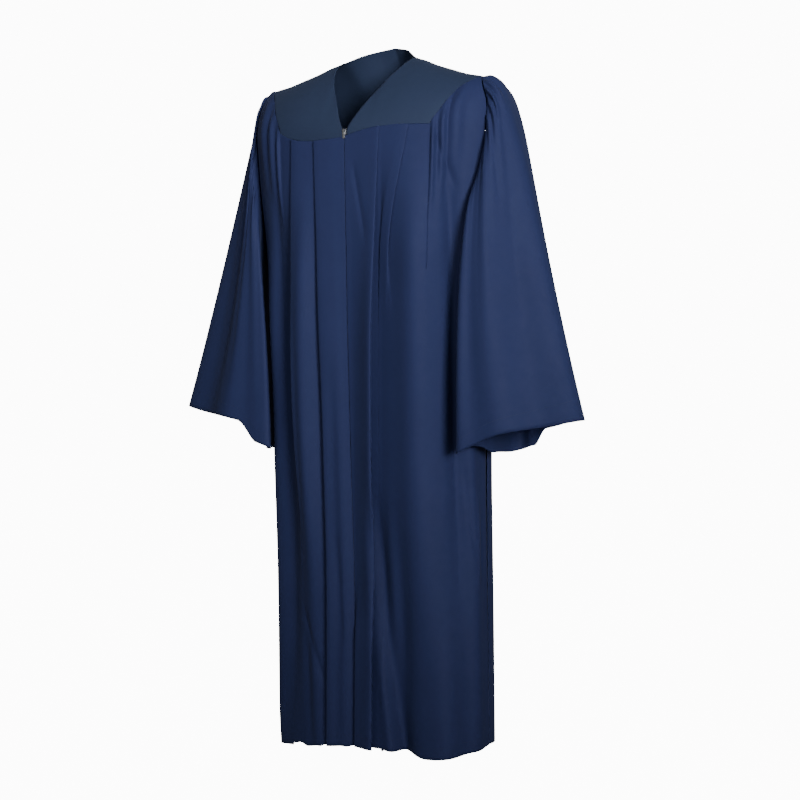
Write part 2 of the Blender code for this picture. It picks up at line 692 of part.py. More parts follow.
def tape_surface():
    """The closed zip behind the front edges: a narrow strip down the middle."""
    top = seam_height("left", 0.0) - TOP_GAP
    heights = [V_BASE_HEIGHT + 0.0004, 0.5 * (V_BASE_HEIGHT + top)]
    heights += [top + (HEM_HEIGHT - top) * share for share in LONG_ROWS[:-1]]
    grid = np.zeros((len(heights), 3, 3))
    inset = CLOTH_WALL / 2.0 + TAPE_CLEARANCE + TAPE_WALL / 2.0
    for i, height in enumerate(heights):
        for j, x in enumerate((-TAPE_WIDTH / 2.0, 0.0, TAPE_WIDTH / 2.0)):
            length = quarter_curve(height, False)[2][-1]
            point, shift_x, shift_y = form_point(TAPE_WIDTH / 2.0 / length, height, False)
            grid[i, j] = (x + shift_x, point[1] + shift_y + inset, height)
    return grid


def clear_scene():
    for thing in list(bpy.data.objects):
        bpy.data.objects.remove(thing, do_unlink=True)


def make_material(name, colour, roughness, metallic=0.0):
    """A Principled material of one colour."""
    material = bpy.data.materials.new(name)
    material.use_nodes = True
    shader = material.node_tree.nodes["Principled BSDF"]
    shader.inputs["Base Color"].default_value = (*colour, 1.0)
    shader.inputs["Roughness"].default_value = roughness
    shader.inputs["Metallic"].default_value = metallic
    return material


def add_object(name, points, faces, collection, material):
    mesh = bpy.data.meshes.new(name)
    mesh.from_pydata([tuple(map(float, p)) for p in points], [], faces)
    mesh.validate()
    mesh.update()
    thing = bpy.data.objects.new(name, mesh)
    collection.objects.link(thing)
    mesh.materials.append(material)
    for face in mesh.polygons:
        face.use_smooth = True
    return thing


def add_cloth(name, grid, collection, material, closed=False, flip=False, wall=CLOTH_WALL):
    """A cloth wall from a grid of points; a closed grid joins its last column to its first."""
    rows, columns = grid.shape[:2]
    points = grid.reshape(-1, 3)
    faces = []
    for i in range(rows - 1):
        for j in range(columns if closed else columns - 1):
            k = (j + 1) % columns
            face = [i * columns + j, i * columns + k, (i + 1) * columns + k, (i + 1) * columns + j]
            faces.append(face[::-1] if flip else face)
    thing = add_object(name, points, faces, collection, material)
    solid = thing.modifiers.new("wall", "SOLIDIFY")
    solid.thickness = wall
    solid.offset = 0.0
    solid.use_rim = True
    return thing


def bake(thing):
    """Put the evaluated shape of an object in place of its own mesh."""
    graph = bpy.context.evaluated_depsgraph_get()
    mesh = bpy.data.meshes.new_from_object(thing.evaluated_get(graph))
    old = thing.data
    thing.modifiers.clear()
    thing.data = mesh
    bpy.data.meshes.remove(old)
    mesh.name = thing.name


def box(name, low, high, collection, material, bevel=0.0):
    x0, y0, z0 = low
    x1, y1, z1 = high
    points = [(x, y, z) for x in (x0, x1) for y in (y0, y1) for z in (z0, z1)]
    faces = [(0, 1, 3, 2), (4, 6, 7, 5), (0, 4, 5, 1), (2, 3, 7, 6), (0, 2, 6, 4), (1, 5, 7, 3)]
    thing = add_object(name, points, faces, collection, material)
    if bevel:
        round_edges = thing.modifiers.new("round", "BEVEL")
        round_edges.width = bevel
        round_edges.segments = 2
    return thing


def rod(name, radius, x0, x1, centre, collection, material, sides=20):
    """A round bar along X."""
    ring = [(math.cos(2 * math.pi * k / sides), math.sin(2 * math.pi * k / sides)) for k in range(sides)]
    points = [(x, centre[0] + radius * c, centre[1] + radius * s) for x in (x0, x1) for c, s in ring]
    faces = [tuple(range(sides))[::-1], tuple(range(sides, 2 * sides))]
    faces += [(k, (k + 1) % sides, sides + (k + 1) % sides, sides + k) for k in range(sides)]
    return add_object(name, points, faces, collection, material)


def combine(target, tool, operation):
    change = target.modifiers.new(operation.lower(), "BOOLEAN")
    change.operation = operation
    change.solver = "EXACT"
    change.object = tool


def zip_place():
    """The front face of the tape at the slider, and the height of the tab's pin."""
    height = V_BASE_HEIGHT - 0.0010 - SLIDER_LENGTH / 2.0
    length = quarter_curve(height, False)[2][-1]
    point, _, _ = form_point(TAPE_WIDTH / 2.0 / length, height, False)
    face = point[1] + CLOTH_WALL / 2.0 + TAPE_CLEARANCE
    return face, height


def build_slider(collection, cutters, material):
    """The slider: a rounded plate on the tape, with two ears and the pin that holds the tab."""
    face, middle = zip_place()
    back = face - SEAM_GAP
    front = back - SLIDER_DEPTH
    low = middle - SLIDER_LENGTH / 2.0
    high = middle + SLIDER_LENGTH / 2.0
    half = SLIDER_WIDTH / 2.0
    slider = box("zip_slider", (-half, front, low), (half, back, high), collection, material, 0.0007)
    pin_y, pin_z = pin_place()
    for number, sign in enumerate((-1.0, 1.0)):
        inner = sign * (EAR_GAP / 2.0 + 0.0011)
        outer = inner + sign * EAR_WIDTH
        x0, x1 = sorted((inner, outer))
        ear = box(f"ear_{number}", (x0, pin_y - EAR_RADIUS * 0.8, pin_z - EAR_RADIUS),
                  (x1, front + 0.0008, pin_z + EAR_RADIUS), cutters, material)
        combine(slider, ear, "UNION")
    reach = EAR_GAP / 2.0 + 0.0011 + EAR_WIDTH * 0.5
    pin = rod("pin", PIN_RADIUS, -reach, reach, (pin_y, pin_z), cutters, material)
    combine(slider, pin, "UNION")
    bake(slider)
    return slider


def pin_place():
    """Where the tab's pin is: front to back, and height."""
    face, middle = zip_place()
    front = face - SEAM_GAP - SLIDER_DEPTH
    return front - EAR_RADIUS - 0.0002, middle + SLIDER_LENGTH / 2.0 - 0.0028


def build_tab(collection, cutters, material):
    """The pull tab: a thin plate hanging from an eye round the slider's pin."""
    pin_y, pin_z = pin_place()
    half = TAB_WIDTH / 2.0
    neck = EAR_GAP / 2.0 + 0.0007
    eye_radius = PIN_RADIUS + PIN_CLEARANCE + 0.0006
    tab = rod("zip_pull_tab", eye_radius, -neck, neck, (pin_y, pin_z), collection, material, 24)
    shank = box("tab_shank", (-neck, pin_y - TAB_WALL / 2.0, pin_z - 0.0042),
                (neck, pin_y + TAB_WALL / 2.0, pin_z - PIN_RADIUS), cutters, material)
    plate = box("tab_plate", (-half, pin_y - TAB_WALL / 2.0, pin_z - TAB_LENGTH),
                (half, pin_y + TAB_WALL / 2.0, pin_z - 0.0034), cutters, material, 0.0004)
    bore = rod("tab_bore", PIN_RADIUS + PIN_CLEARANCE, -0.01, 0.01, (pin_y, pin_z), cutters, material, 24)
    combine(tab, shank, "UNION")
    combine(tab, plate, "UNION")
    combine(tab, bore, "DIFFERENCE")
    bake(tab)
    place = np.array([0.0, pin_y, pin_z])
    for vertex in tab.data.vertices:
        vertex.co = np.array(vertex.co) - place
    tab.location = place
    return tab


def main():
    clear_scene()
    gown = bpy.data.collections.new("graduation_gown")
    cutters = bpy.data.collections.new("cutters")
    bpy.context.scene.collection.children.link(gown)
    bpy.context.scene.collection.children.link(cutters)

    navy = (0.030, 0.042, 0.090)
    names = ("yoke_front_left", "yoke_front_right", "yoke_back", "front_left", "front_right",
             "back", "sleeve_left", "sleeve_right")
    cloth = {name: make_material(name, navy, 0.85) for name in names}
    tape = make_material("zip_tape", (0.020, 0.028, 0.065), 0.9)
    slider = make_material("zip_slider", (0.80, 0.81, 0.83), 0.25, 1.0)
    tab = make_material("zip_pull_tab", (0.80, 0.81, 0.83), 0.25, 1.0)

    for side in ("left", "right"):
        mirrored = side == "right"
        name = f"yoke_front_{side}"
        add_cloth(name, front_yoke_surface(side), gown, cloth[name], flip=mirrored)
        name = f"front_{side}"
        add_cloth(name, front_surface(side), gown, cloth[name], flip=mirrored)
        name = f"sleeve_{side}"
        add_cloth(name, sleeve_surface(side), gown, cloth[name], closed=True, flip=mirrored)
    add_cloth("yoke_back", back_yoke_surface(), gown, cloth["yoke_back"])
    add_cloth("back", back_surface(), gown, cloth["back"])
    add_cloth("zip_tape", tape_surface(), gown, tape, wall=TAPE_WALL)
    build_slider(gown, cutters, slider)
    build_tab(gown, cutters, tab)
    for thing in cutters.objects:
        thing.hide_render = True
        thing.display_type = "WIRE"


main()
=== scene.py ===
"""Looks of an empty graduation gown that keeps its worn shape.

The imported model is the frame. Every cloth piece is worked out here again as a thin
shell on its solid's form, with finer folds, then stitched, and the zip is finished.
The file is laid out as an add-on with one operator for each group of pieces.
"""
import math

import bpy
import numpy as np
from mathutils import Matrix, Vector


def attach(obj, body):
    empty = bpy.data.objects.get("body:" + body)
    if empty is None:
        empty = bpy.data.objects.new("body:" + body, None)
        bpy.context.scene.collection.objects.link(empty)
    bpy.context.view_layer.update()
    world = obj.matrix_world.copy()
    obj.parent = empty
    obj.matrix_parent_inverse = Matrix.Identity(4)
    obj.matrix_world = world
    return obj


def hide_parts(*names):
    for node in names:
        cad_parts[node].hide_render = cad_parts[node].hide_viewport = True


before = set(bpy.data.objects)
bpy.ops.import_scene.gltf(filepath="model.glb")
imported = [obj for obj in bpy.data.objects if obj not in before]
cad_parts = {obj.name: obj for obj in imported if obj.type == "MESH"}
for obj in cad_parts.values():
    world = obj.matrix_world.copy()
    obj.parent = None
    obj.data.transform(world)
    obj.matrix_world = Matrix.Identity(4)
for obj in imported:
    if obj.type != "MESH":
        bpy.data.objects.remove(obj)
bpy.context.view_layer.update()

bl_info = {
    "name": "Graduation gown",
    "version": (1, 0, 0),
    "blender": (4, 5, 0),
    "location": "View3D > Sidebar > Gown",
    "description": "Cloth, folds, stitching, zip and studio for a packed graduation gown",
    "category": "Object",
}

# Sizes of the form, in metres. They repeat the solids' own sizes
CHEST_HEIGHT = -0.150
HEM_HEIGHT = -1.352
SHOULDER_TIP_X = 0.2345
CENTRE_GAP = 0.0003
ZIP_SLOT = 0.0040
V_BASE_HEIGHT = -0.1515
SEAM_CLEARANCE = 0.0004
SLEEVE_CLEARANCE = 0.0022

# Horizontal sections of the body cloth: a rounded box, wider than deep
SECTION_POWER = 2.4
SECTIONS = (
    # height, half_width, front_depth, back_depth, shift_x, shift_y
    (-0.120, 0.275, 0.145, 0.118, 0.000, 0.000),
    (-0.170, 0.272, 0.146, 0.120, 0.000, 0.000),
    (-0.250, 0.265, 0.145, 0.124, 0.000, 0.000),
    (-0.360, 0.252, 0.142, 0.124, 0.000, 0.001),
    (-0.500, 0.242, 0.135, 0.124, -0.002, 0.002),
    (-0.750, 0.232, 0.124, 0.122, -0.005, 0.008),
    (-1.050, 0.230, 0.118, 0.122, -0.001, 0.012),
    (-1.400, 0.230, 0.122, 0.120, 0.002, 0.016),
)

# The line over the shoulders, from the middle of the neck to past the shoulder tip
SHOULDER_LINE = (
    # across, height, front_back, bend
    (0.000, 0.0340, 0.042, 1.35),
    (0.030, 0.0270, 0.032, 1.35),
    (0.045, 0.0200, 0.020, 1.35),
    (0.060, 0.0100, 0.004, 1.38),
    (0.080, -0.0035, -0.008, 1.42),
    (0.105, -0.0120, -0.010, 1.50),
    (0.130, -0.0225, -0.012, 1.58),
    (0.165, -0.0340, -0.014, 1.65),
    (0.200, -0.0450, -0.017, 1.70),
    (0.2345, -0.0525, -0.020, 1.75),
    (0.250, -0.0620, -0.021, 1.80),
    (0.264, -0.0880, -0.021, 1.80),
    (0.276, -0.1450, -0.021, 1.80),
)

# Neck edge of each front yoke, from the foot of the V up to the shoulder seam
NECK_FRONT = (
    # across, height
    (0.0062, -0.1515),
    (0.0150, -0.1330),
    (0.0350, -0.0960),
    (0.0510, -0.0700),
    (0.0620, -0.0500),
    (0.0775, -0.0170),
    (0.0800, -0.0035),
)

# Neck edge at the back, from the middle to the shoulder seam: how far down the back slope
NECK_BACK = (
    # across, down_slope
    (0.000, 0.140),
    (0.030, 0.130),
    (0.045, 0.110),
    (0.060, 0.080),
    (0.073, 0.040),
    (0.080, 0.000),
)

# Armhole edges, from the shoulder tip to the underarm
ARMHOLE_FRONT = (
    # across, height
    (0.2345, -0.0525),
    (0.2470, -0.0740),
    (0.2580, -0.1080),
    (0.2590, -0.1500),
    (0.2540, -0.2050),
    (0.2490, -0.2600),
    (0.2480, -0.3100),
    (0.2520, -0.3600),
)
ARMHOLE_BACK = (
    # across, height
    (0.2345, -0.0525),
    (0.2430, -0.0760),
    (0.2500, -0.1100),
    (0.2520, -0.1500),
    (0.2500, -0.2000),
    (0.2480, -0.2600),
    (0.2480, -0.3100),
    (0.2520, -0.3600),
)

# One knife pleat across the cloth: how far out along it, and how high in the stack
PLEAT_SHAPE = (
    # along, stack, flat
    (-1.55, 0.86, -1.90),
    (-0.80, 1.00, -1.30),
    (-0.14, 1.00, -0.75),
    (0.00, 0.80, -0.50),
    (-0.12, 0.60, -0.25),
    (-0.88, 0.50, 0.20),
    (-1.00, 0.30, 0.45),
    (-0.86, 0.06, 0.70),
    (-0.10, 0.00, 1.20),
    (0.60, 0.00, 1.70),
)

# The two pleats of each front. Fold edges are given across, from the middle of the front
PLEATS = {
    "left": (
        # top, high, middle, hem, depth_top, depth_hem, stack_top, stack_hem, opens_from, opens_by
        (0.0755, 0.0650, 0.0555, 0.0450, 0.0120, 0.0260, 0.0040, 0.0150, 9.0, 10.0),
        (0.1350, 0.0940, 0.0900, 0.0900, 0.0120, 0.0180, 0.0036, 0.0110, 0.10, 0.34),
    ),
    "right": (
        (0.0700, 0.0630, 0.0570, 0.0620, 0.0120, 0.0220, 0.0044, 0.0130, 9.0, 10.0),
        (0.1260, 0.1290, 0.1300, 0.1300, 0.0120, 0.0200, 0.0050, 0.0150, 0.40, 0.80),
    ),
}

# Each front yoke's lower seam, from the middle of the front to the corner
YOKE_SEAM = {
    "left": (
        # across, height
        (0.000, -0.1645),
        (0.035, -0.1560),
        (0.070, -0.1500),
        (0.120, -0.1475),
        (0.173, -0.1480),
    ),
    "right": (
        (0.000, -0.1660),
        (0.035, -0.1690),
        (0.080, -0.1710),
        (0.100, -0.1700),
        (0.120, -0.1665),
        (0.140, -0.1605),
        (0.158, -0.1520),
    ),
}

# Each front yoke's outer edge, from its lower corner to the shoulder tip
YOKE_EDGE = {
    "left": (
        # across, height
        (0.1730, -0.1480),
        (0.1830, -0.1310),
        (0.1960, -0.1060),
        (0.2090, -0.0790),
        (0.2345, -0.0525),
    ),
    "right": (
        (0.1580, -0.1520),
        (0.1680, -0.1330),
        (0.1860, -0.1060),
        (0.2060, -0.0790),
        (0.2345, -0.0525),
    ),
}
FLUTE_DEPTH = {"left": 0.0075, "right": 0.0050}
SIDE_SIGN = {"left": 1.0, "right": -1.0}

BACK_SEAM_HEIGHT = -0.142
BACK_FLUTES = 10
BACK_FLUTE_TOP = 0.0030
BACK_FLUTE_LOW = 0.0120
BACK_FADE_FROM = 0.60
BACK_FADE_BY = 0.94

# Soft folds and hollows of the fronts, measured along the cloth from the middle
BODY_FOLDS = {
    "left": (
        # along_top, along_hem, half_width, starts, full, fades, ends, out
        (0.150, 0.165, 0.042, -0.180, -0.420, -1.50, -1.60, 0.0150),
        (0.214, 0.215, 0.015, -0.190, -0.280, -0.85, -1.15, -0.0090),
        (0.240, 0.250, 0.018, -0.300, -0.500, -1.30, -1.50, 0.0070),
        (0.088, 0.104, 0.020, -0.820, -1.150, -1.50, -1.60, -0.0120),
        (0.175, 0.190, 0.026, -1.000, -1.300, -1.50, -1.60, 0.0130),
    ),
    "right": (
        (0.098, 0.098, 0.020, -0.200, -0.450, -1.30, -1.50, 0.0060),
        (0.165, 0.165, 0.024, -0.250, -0.450, -1.10, -1.40, -0.0090),
        (0.215, 0.215, 0.022, -0.300, -0.550, -1.30, -1.50, 0.0080),
        (0.034, 0.036, 0.012, -0.500, -0.800, -1.30, -1.40, -0.0040),
    ),
}

# How the cloth comes out from under each front's first pleat: deep beside the fold edge and
# rising away from it
UNDER_FOLD = {
    # half_width, starts, full, fades, ends, out
    "left": (0.0240, -0.200, -0.420, -1.020, -1.250, -0.0090),
    "right": (0.0160, -0.240, -0.500, -1.300, -1.600, -0.0030),
}

# How evenly the strip beside the zip rises to its first fold edge, and how proud that edge is
STRIP_RISE = {"left": 1.0, "right": 0.0}
STRIP_RISE_FADES = (1.020, 1.160)
EDGE_RIDGE = {"left": 0.0090, "right": 0.0}
EDGE_RIDGE_WIDTH = 0.022

# How much lower the hem hangs than its mean height, along the front from the middle
HEM_DROP = {
    "left": ((0.00, 0.000), (0.05, 0.001), (0.09, 0.004), (0.16, 0.011), (0.22, 0.004), (0.30, -0.004)),
    "right": ((0.00, 0.000), (0.08, 0.010), (0.16, 0.024), (0.22, 0.032), (0.30, 0.034)),
}

# Sleeves: stations round the armhole from the tip, down the front, and up the back.
# reach is how the cloth leaves the armhole, guide steers the middle, cuff is the hem
SLEEVE_STATIONS = {
    "left": (
        # turn, reach_x, reach_y, reach_z, guide_x, guide_y, guide_z, cuff_x, cuff_y, cuff_z
        (0.000, 0.0840, 0.000, 0.002, 0.3200, -0.020, -0.250, 0.4480, -0.030, -0.706),
        (0.125, 0.0550, -0.036, -0.020, 0.3000, -0.096, -0.330, 0.3900, -0.086, -0.717),
        (0.250, 0.0200, -0.056, -0.044, 0.2640, -0.132, -0.420, 0.3120, -0.126, -0.733),
        (0.375, -0.0200, -0.056, -0.040, 0.2300, -0.126, -0.500, 0.2340, -0.130, -0.769),
        (0.500, 0.0200, -0.010, -0.070, 0.2680, -0.030, -0.560, 0.2600, -0.040, -0.746),
        (0.625, 0.0140, 0.040, -0.060, 0.2640, 0.070, -0.520, 0.2660, 0.046, -0.748),
        (0.750, 0.0260, 0.048, -0.050, 0.2720, 0.100, -0.420, 0.3060, 0.066, -0.736),
        (0.875, 0.0440, 0.030, -0.024, 0.2950, 0.058, -0.330, 0.3880, 0.032, -0.715),
    ),
    "right": (
        (0.000, 0.0400, 0.000, -0.002, 0.3080, -0.015, -0.262, 0.4430, -0.030, -0.704),
        (0.125, 0.0140, -0.018, -0.035, 0.2640, -0.076, -0.330, 0.3780, -0.082, -0.711),
        (0.250, 0.0080, -0.034, -0.056, 0.2380, -0.108, -0.420, 0.2900, -0.112, -0.719),
        (0.375, -0.0140, -0.044, -0.050, 0.2000, -0.112, -0.500, 0.2000, -0.108, -0.744),
        (0.500, 0.0200, -0.010, -0.070, 0.2680, -0.030, -0.560, 0.2580, -0.030, -0.752),
        (0.625, 0.0140, 0.040, -0.060, 0.2640, 0.070, -0.520, 0.2640, 0.050, -0.754),
        (0.750, 0.0220, 0.046, -0.050, 0.2660, 0.100, -0.420, 0.3000, 0.070, -0.750),
        (0.875, 0.0320, 0.030, -0.024, 0.2860, 0.062, -0.330, 0.3780, 0.036, -0.728),
    ),
}

# Where the cuff hangs lower, as the cloth under the arm drops clear of the front hem
CUFF_DROPS = {
    # starts, full, fades, ends, drop
    "left": (0.440, 0.520, 0.755, 0.790, 0.0280),
    "right": (0.272, 0.322, 0.640, 0.780, 0.0320),
}

# How far the yoke's lower edge is turned in
YOKE_TURNING = 0.0014

# Zip sizes
TAPE_WIDTH = 0.0220
TAPE_FACE = 0.0014
TOOTH_WIDTH = 0.0034
ZIP_FOOT = -1.190

# Creases of each piece: a soft ridge (lift above 0) or trough (below 0) along a bent line.
# On a front, along is measured over the cloth from its middle edge
FRONT_CREASES = {
    "left": (
        # along_1, height_1, along_2, height_2, along_3, height_3, half_width, lift, lean, power
        (0.150, -0.160, 0.136, -0.620, 0.132, -1.200, 0.0340, 0.0130, 0.00, 2.0),
        (0.192, -0.180, 0.212, -0.360, 0.224, -0.560, 0.0120, -0.0026, 0.00, 2.0),
        (0.050, -0.820, 0.074, -1.180, 0.150, -1.640, 0.0150, -0.0130, 0.20, 2.0),
        (0.054, -1.120, 0.072, -1.290, 0.098, -1.560, 0.0140, 0.0070, 0.00, 2.0),
        (0.259, -0.840, 0.257, -0.960, 0.250, -1.070, 0.0040, 0.0018, 0.00, 1.6),
        (0.269, -0.880, 0.267, -0.950, 0.263, -1.030, 0.0035, -0.0016, 0.00, 1.6),
        (0.229, -0.760, 0.236, -0.880, 0.252, -1.000, 0.0060, -0.0030, 0.30, 1.6),
        (0.015, -0.205, 0.030, -0.288, 0.048, -0.385, 0.0060, -0.0022, 0.20, 1.6),
        (0.148, -0.182, 0.166, -0.164, 0.184, -0.146, 0.0040, 0.0024, 0.00, 1.6),
        (0.186, -0.160, 0.204, -0.219, 0.234, -0.285, 0.0065, -0.0036, 0.20, 1.6),
    ),
    "right": (
        (0.090, -0.220, 0.099, -0.680, 0.101, -1.150, 0.0160, 0.0036, 0.00, 2.0),
        (0.140, -1.060, 0.097, -1.172, 0.064, -1.262, 0.0070, -0.0034, 0.20, 1.6),
        (0.134, -0.420, 0.132, -0.780, 0.133, -1.060, 0.0100, 0.0034, 0.00, 2.0),
        (0.176, -0.200, 0.184, -0.420, 0.182, -0.700, 0.0120, -0.0040, 0.00, 2.0),
        (0.120, -1.120, 0.112, -1.260, 0.098, -1.460, 0.0120, -0.0040, 0.00, 2.0),
        (0.040, -0.900, 0.030, -1.050, 0.026, -1.200, 0.0080, -0.0026, 0.20, 1.6),
    ),
}

# On the back, along runs from the middle to the wearer's left above 0 and right below it
BACK_CREASES = (
    (0.030, -0.200, 0.052, -0.420, 0.044, -0.720, 0.0140, 0.0040, 0.10, 2.0),
    (-0.070, -0.210, -0.084, -0.480, -0.070, -0.840, 0.0120, -0.0040, 0.00, 2.0),
    (0.150, -0.190, 0.168, -0.330, 0.200, -0.520, 0.0080, -0.0030, 0.20, 1.6),
    (-0.160, -0.200, -0.184, -0.360, -0.212, -0.560, 0.0080, -0.0032, 0.20, 1.6),
    (0.110, -0.900, 0.090, -1.120, 0.060, -1.450, 0.0130, -0.0050, 0.10, 2.0),
    (-0.130, -0.980, -0.100, -1.180, -0.090, -1.450, 0.0120, 0.0040, 0.00, 2.0),
)

# On a sleeve, along is half the turn round it, so nearly metres, and height is metres down
SLEEVE_CREASES = {
    "left": (
        (0.152, 0.080, 0.160, 0.330, 0.172, 0.700, 0.0110, 0.0050, 0.00, 2.0),
        (0.040, 0.040, 0.046, 0.300, 0.060, 0.620, 0.0140, -0.0034, 0.10, 2.0),
        (0.090, 0.030, 0.080, 0.180, 0.074, 0.360, 0.0090, -0.0032, 0.20, 1.8),
        (0.118, 0.060, 0.112, 0.260, 0.114, 0.520, 0.0100, 0.0026, 0.00, 2.0),
        (0.360, 0.080, 0.370, 0.300, 0.384, 0.660, 0.0130, 0.0042, 0.00, 2.0),
        (0.430, 0.040, 0.422, 0.220, 0.416, 0.460, 0.0100, -0.0032, 0.10, 2.0),
    ),
    "right": (
        (0.146, 0.060, 0.150, 0.320, 0.158, 0.700, 0.0110, 0.0044, 0.00, 2.0),
        (0.086, 0.030, 0.078, 0.200, 0.070, 0.420, 0.0100, -0.0036, 0.20, 1.8),
        (0.052, 0.080, 0.058, 0.340, 0.066, 0.640, 0.0120, 0.0028, 0.00, 2.0),
        (0.116, 0.120, 0.110, 0.360, 0.106, 0.640, 0.0100, -0.0030, 0.10, 2.0),
        (0.366, 0.060, 0.374, 0.300, 0.386, 0.660, 0.0130, 0.0040, 0.00, 2.0),
        (0.436, 0.040, 0.426, 0.200, 0.420, 0.440, 0.0100, -0.0030, 0.10, 2.0),
    ),
}

# How finely each part of a front is laid across, by the kind of its columns
FINE_STEPS = {"centre": 8, "pleat": 4, "between": 8, "outer": 8, "flute": 3, "armhole": 5}
FRONT_ROWS = 200
FORM_ROWS = 181
FORM_COLUMNS = 181
FORM_TURNS = 721


def column(table, index):
    return np.array([row[index] for row in table], float)


def smooth(x, low, high):
    """0 below low, 1 above high, eased between."""
    t = np.clip((np.asarray(x, float) - low) / (high - low), 0.0, 1.0)
    return t * t * (3.0 - 2.0 * t)


def curve(x, keys, values):
    """A smooth line through points: cubics whose slope at a point is the harmonic mean of
    the slopes beside it, level where those turn, and flat past both ends."""
    keys = np.asarray(keys, float)
    values = np.asarray(values, float)
    x = np.clip(np.asarray(x, float), keys[0], keys[-1])
    slopes = np.diff(values) / np.diff(keys)
    before, after = slopes[:-1], slopes[1:]
    same = before * after > 0
    total = np.where(same, before + after, 1.0)
    middle = np.where(same, 2.0 * before * after / total, 0.0)
    lean = np.concatenate([slopes[:1], middle, slopes[-1:]])
    k = np.clip(np.searchsorted(keys, x, side="right") - 1, 0, len(keys) - 2)
    width = keys[k + 1] - keys[k]
    t = (x - keys[k]) / width
    return ((1 + 2 * t) * (1 - t) ** 2 * values[k] + t * (1 - t) ** 2 * width * lean[k]
            + t * t * (3 - 2 * t) * values[k + 1] + t * t * (t - 1) * width * lean[k + 1])


def read(x, table, index, key=0):
    """One named column of a table at x, whichever way its first column runs."""
    keys, values = column(table, key), column(table, index)
    if keys[0] > keys[-1]:
        keys, values = keys[::-1], values[::-1]
    return curve(x, keys, values)


def along_table(table, share):
    """The point part way along a table of points, by its rows."""
    rows = np.arange(len(table))
    place = np.asarray(share, float) * (len(table) - 1)
    return np.interp(place, rows, column(table, 0)), np.interp(place, rows, column(table, 1))


class Form:
    """The body form. Each height has a quarter section, a rounded box whose across is
    half_width * sin(turn) ** (2 / power) and whose depth is depth * cos(turn) ** (2 / power).
    The tables hold it by height and by share of its running length."""

    def __init__(self, back):
        self.back = back
        self.sign = 1.0 if back else -1.0
        self.heights = np.linspace(HEM_HEIGHT - 0.08, CHEST_HEIGHT, FORM_ROWS)
        turn = np.linspace(0.0, math.pi / 2.0, FORM_TURNS)
        half_width = read(self.heights, SECTIONS, 1)[:, None]
        depth = read(self.heights, SECTIONS, 3 if back else 2)[:, None]
        across = half_width * np.sin(turn) ** (2.0 / SECTION_POWER)
        deep = depth * np.cos(turn) ** (2.0 / SECTION_POWER)
        steps = np.hypot(np.diff(across, axis=1), np.diff(deep, axis=1))
        run = np.concatenate([np.zeros((FORM_ROWS, 1)), np.cumsum(steps, axis=1)], axis=1)
        share = np.linspace(0.0, 1.0, FORM_COLUMNS)
        self.length_by_height = run[:, -1]
        self.across = np.array([np.interp(share * r[-1], r, a) for r, a in zip(run, across)])
        self.deep = np.array([np.interp(share * r[-1], r, d) for r, d in zip(run, deep)])
        self.share = share

    def cell(self, share, height):
        """Where a share and a height fall in the tables."""
        low, high = self.heights[0], self.heights[-1]
        i = np.clip((np.asarray(height) - low) / (high - low), 0.0, 1.0) * (FORM_ROWS - 1)
        j = np.clip(np.asarray(share), 0.0, 1.0) * (FORM_COLUMNS - 1)
        return np.broadcast_arrays(i, j)

    def sample(self, table, share, height):
        """A table read between its rows and columns."""
        i, j = self.cell(share, height)
        i0 = np.minimum(i.astype(int), FORM_ROWS - 2)
        j0 = np.minimum(j.astype(int), FORM_COLUMNS - 2)
        a, b = i - i0, j - j0
        return ((1 - a) * (1 - b) * table[i0, j0] + (1 - a) * b * table[i0, j0 + 1]
                + a * (1 - b) * table[i0 + 1, j0] + a * b * table[i0 + 1, j0 + 1])

    def length(self, height):
        """Running length of the quarter section at a height."""
        return np.interp(height, self.heights, self.length_by_height)

    def share_at(self, x, height):
        """The share of the running length at which a section is x across."""
        low = np.minimum(height, CHEST_HEIGHT)
        x, low = np.broadcast_arrays(np.asarray(x, float), low)
        row = np.clip(np.rint((low - self.heights[0]) / (self.heights[-1] - self.heights[0])
                              * (FORM_ROWS - 1)), 0, FORM_ROWS - 1).astype(int)
        flat = [np.interp(a, self.across[r], self.share) for a, r in zip(x.ravel(), row.ravel())]
        return np.array(flat).reshape(x.shape)

    def shift(self, height):
        low = np.minimum(height, CHEST_HEIGHT)
        return read(low, SECTIONS, 4), read(low, SECTIONS, 5)

    def point(self, share, height):
        """Points of the form: the section below the chest, and above it the slope up to the
        line over the shoulders, whose depth falls as (1 - rise ** bend) ** (1 / bend)."""
        share, height = np.broadcast_arrays(np.asarray(share, float), np.asarray(height, float))
        low = np.minimum(height, CHEST_HEIGHT)
        x = self.sample(self.across, share, low)
        deep = self.sample(self.deep, share, low)
        ridge = read(x, SHOULDER_LINE, 1)
        ridge_y = read(x, SHOULDER_LINE, 2) * self.sign
        bend = read(x, SHOULDER_LINE, 3)
        rise = np.clip((height - CHEST_HEIGHT) / (ridge - CHEST_HEIGHT), 0.0, 1.0)
        slope = ridge_y + (deep - ridge_y) * (1.0 - rise ** bend) ** (1.0 / bend)
        y = np.where(height > CHEST_HEIGHT, slope, deep)
        return np.stack([x, self.sign * y, height], axis=-1)

    def normal(self, share, height):
        """Outward direction of the form, from points a little to each side and below."""
        near = np.minimum(share + 0.01, 1.0)
        across = self.point(near, height) - self.point(near - 0.02, height)
        down = self.point(share, height - 0.004) - self.point(share, height)
        out = np.cross(across, down) if self.back else np.cross(down, across)
        out = out / np.maximum(np.linalg.norm(out, axis=-1, keepdims=True), 1e-9)
        return out


FRONT_FORM = Form(False)
BACK_FORM = Form(True)


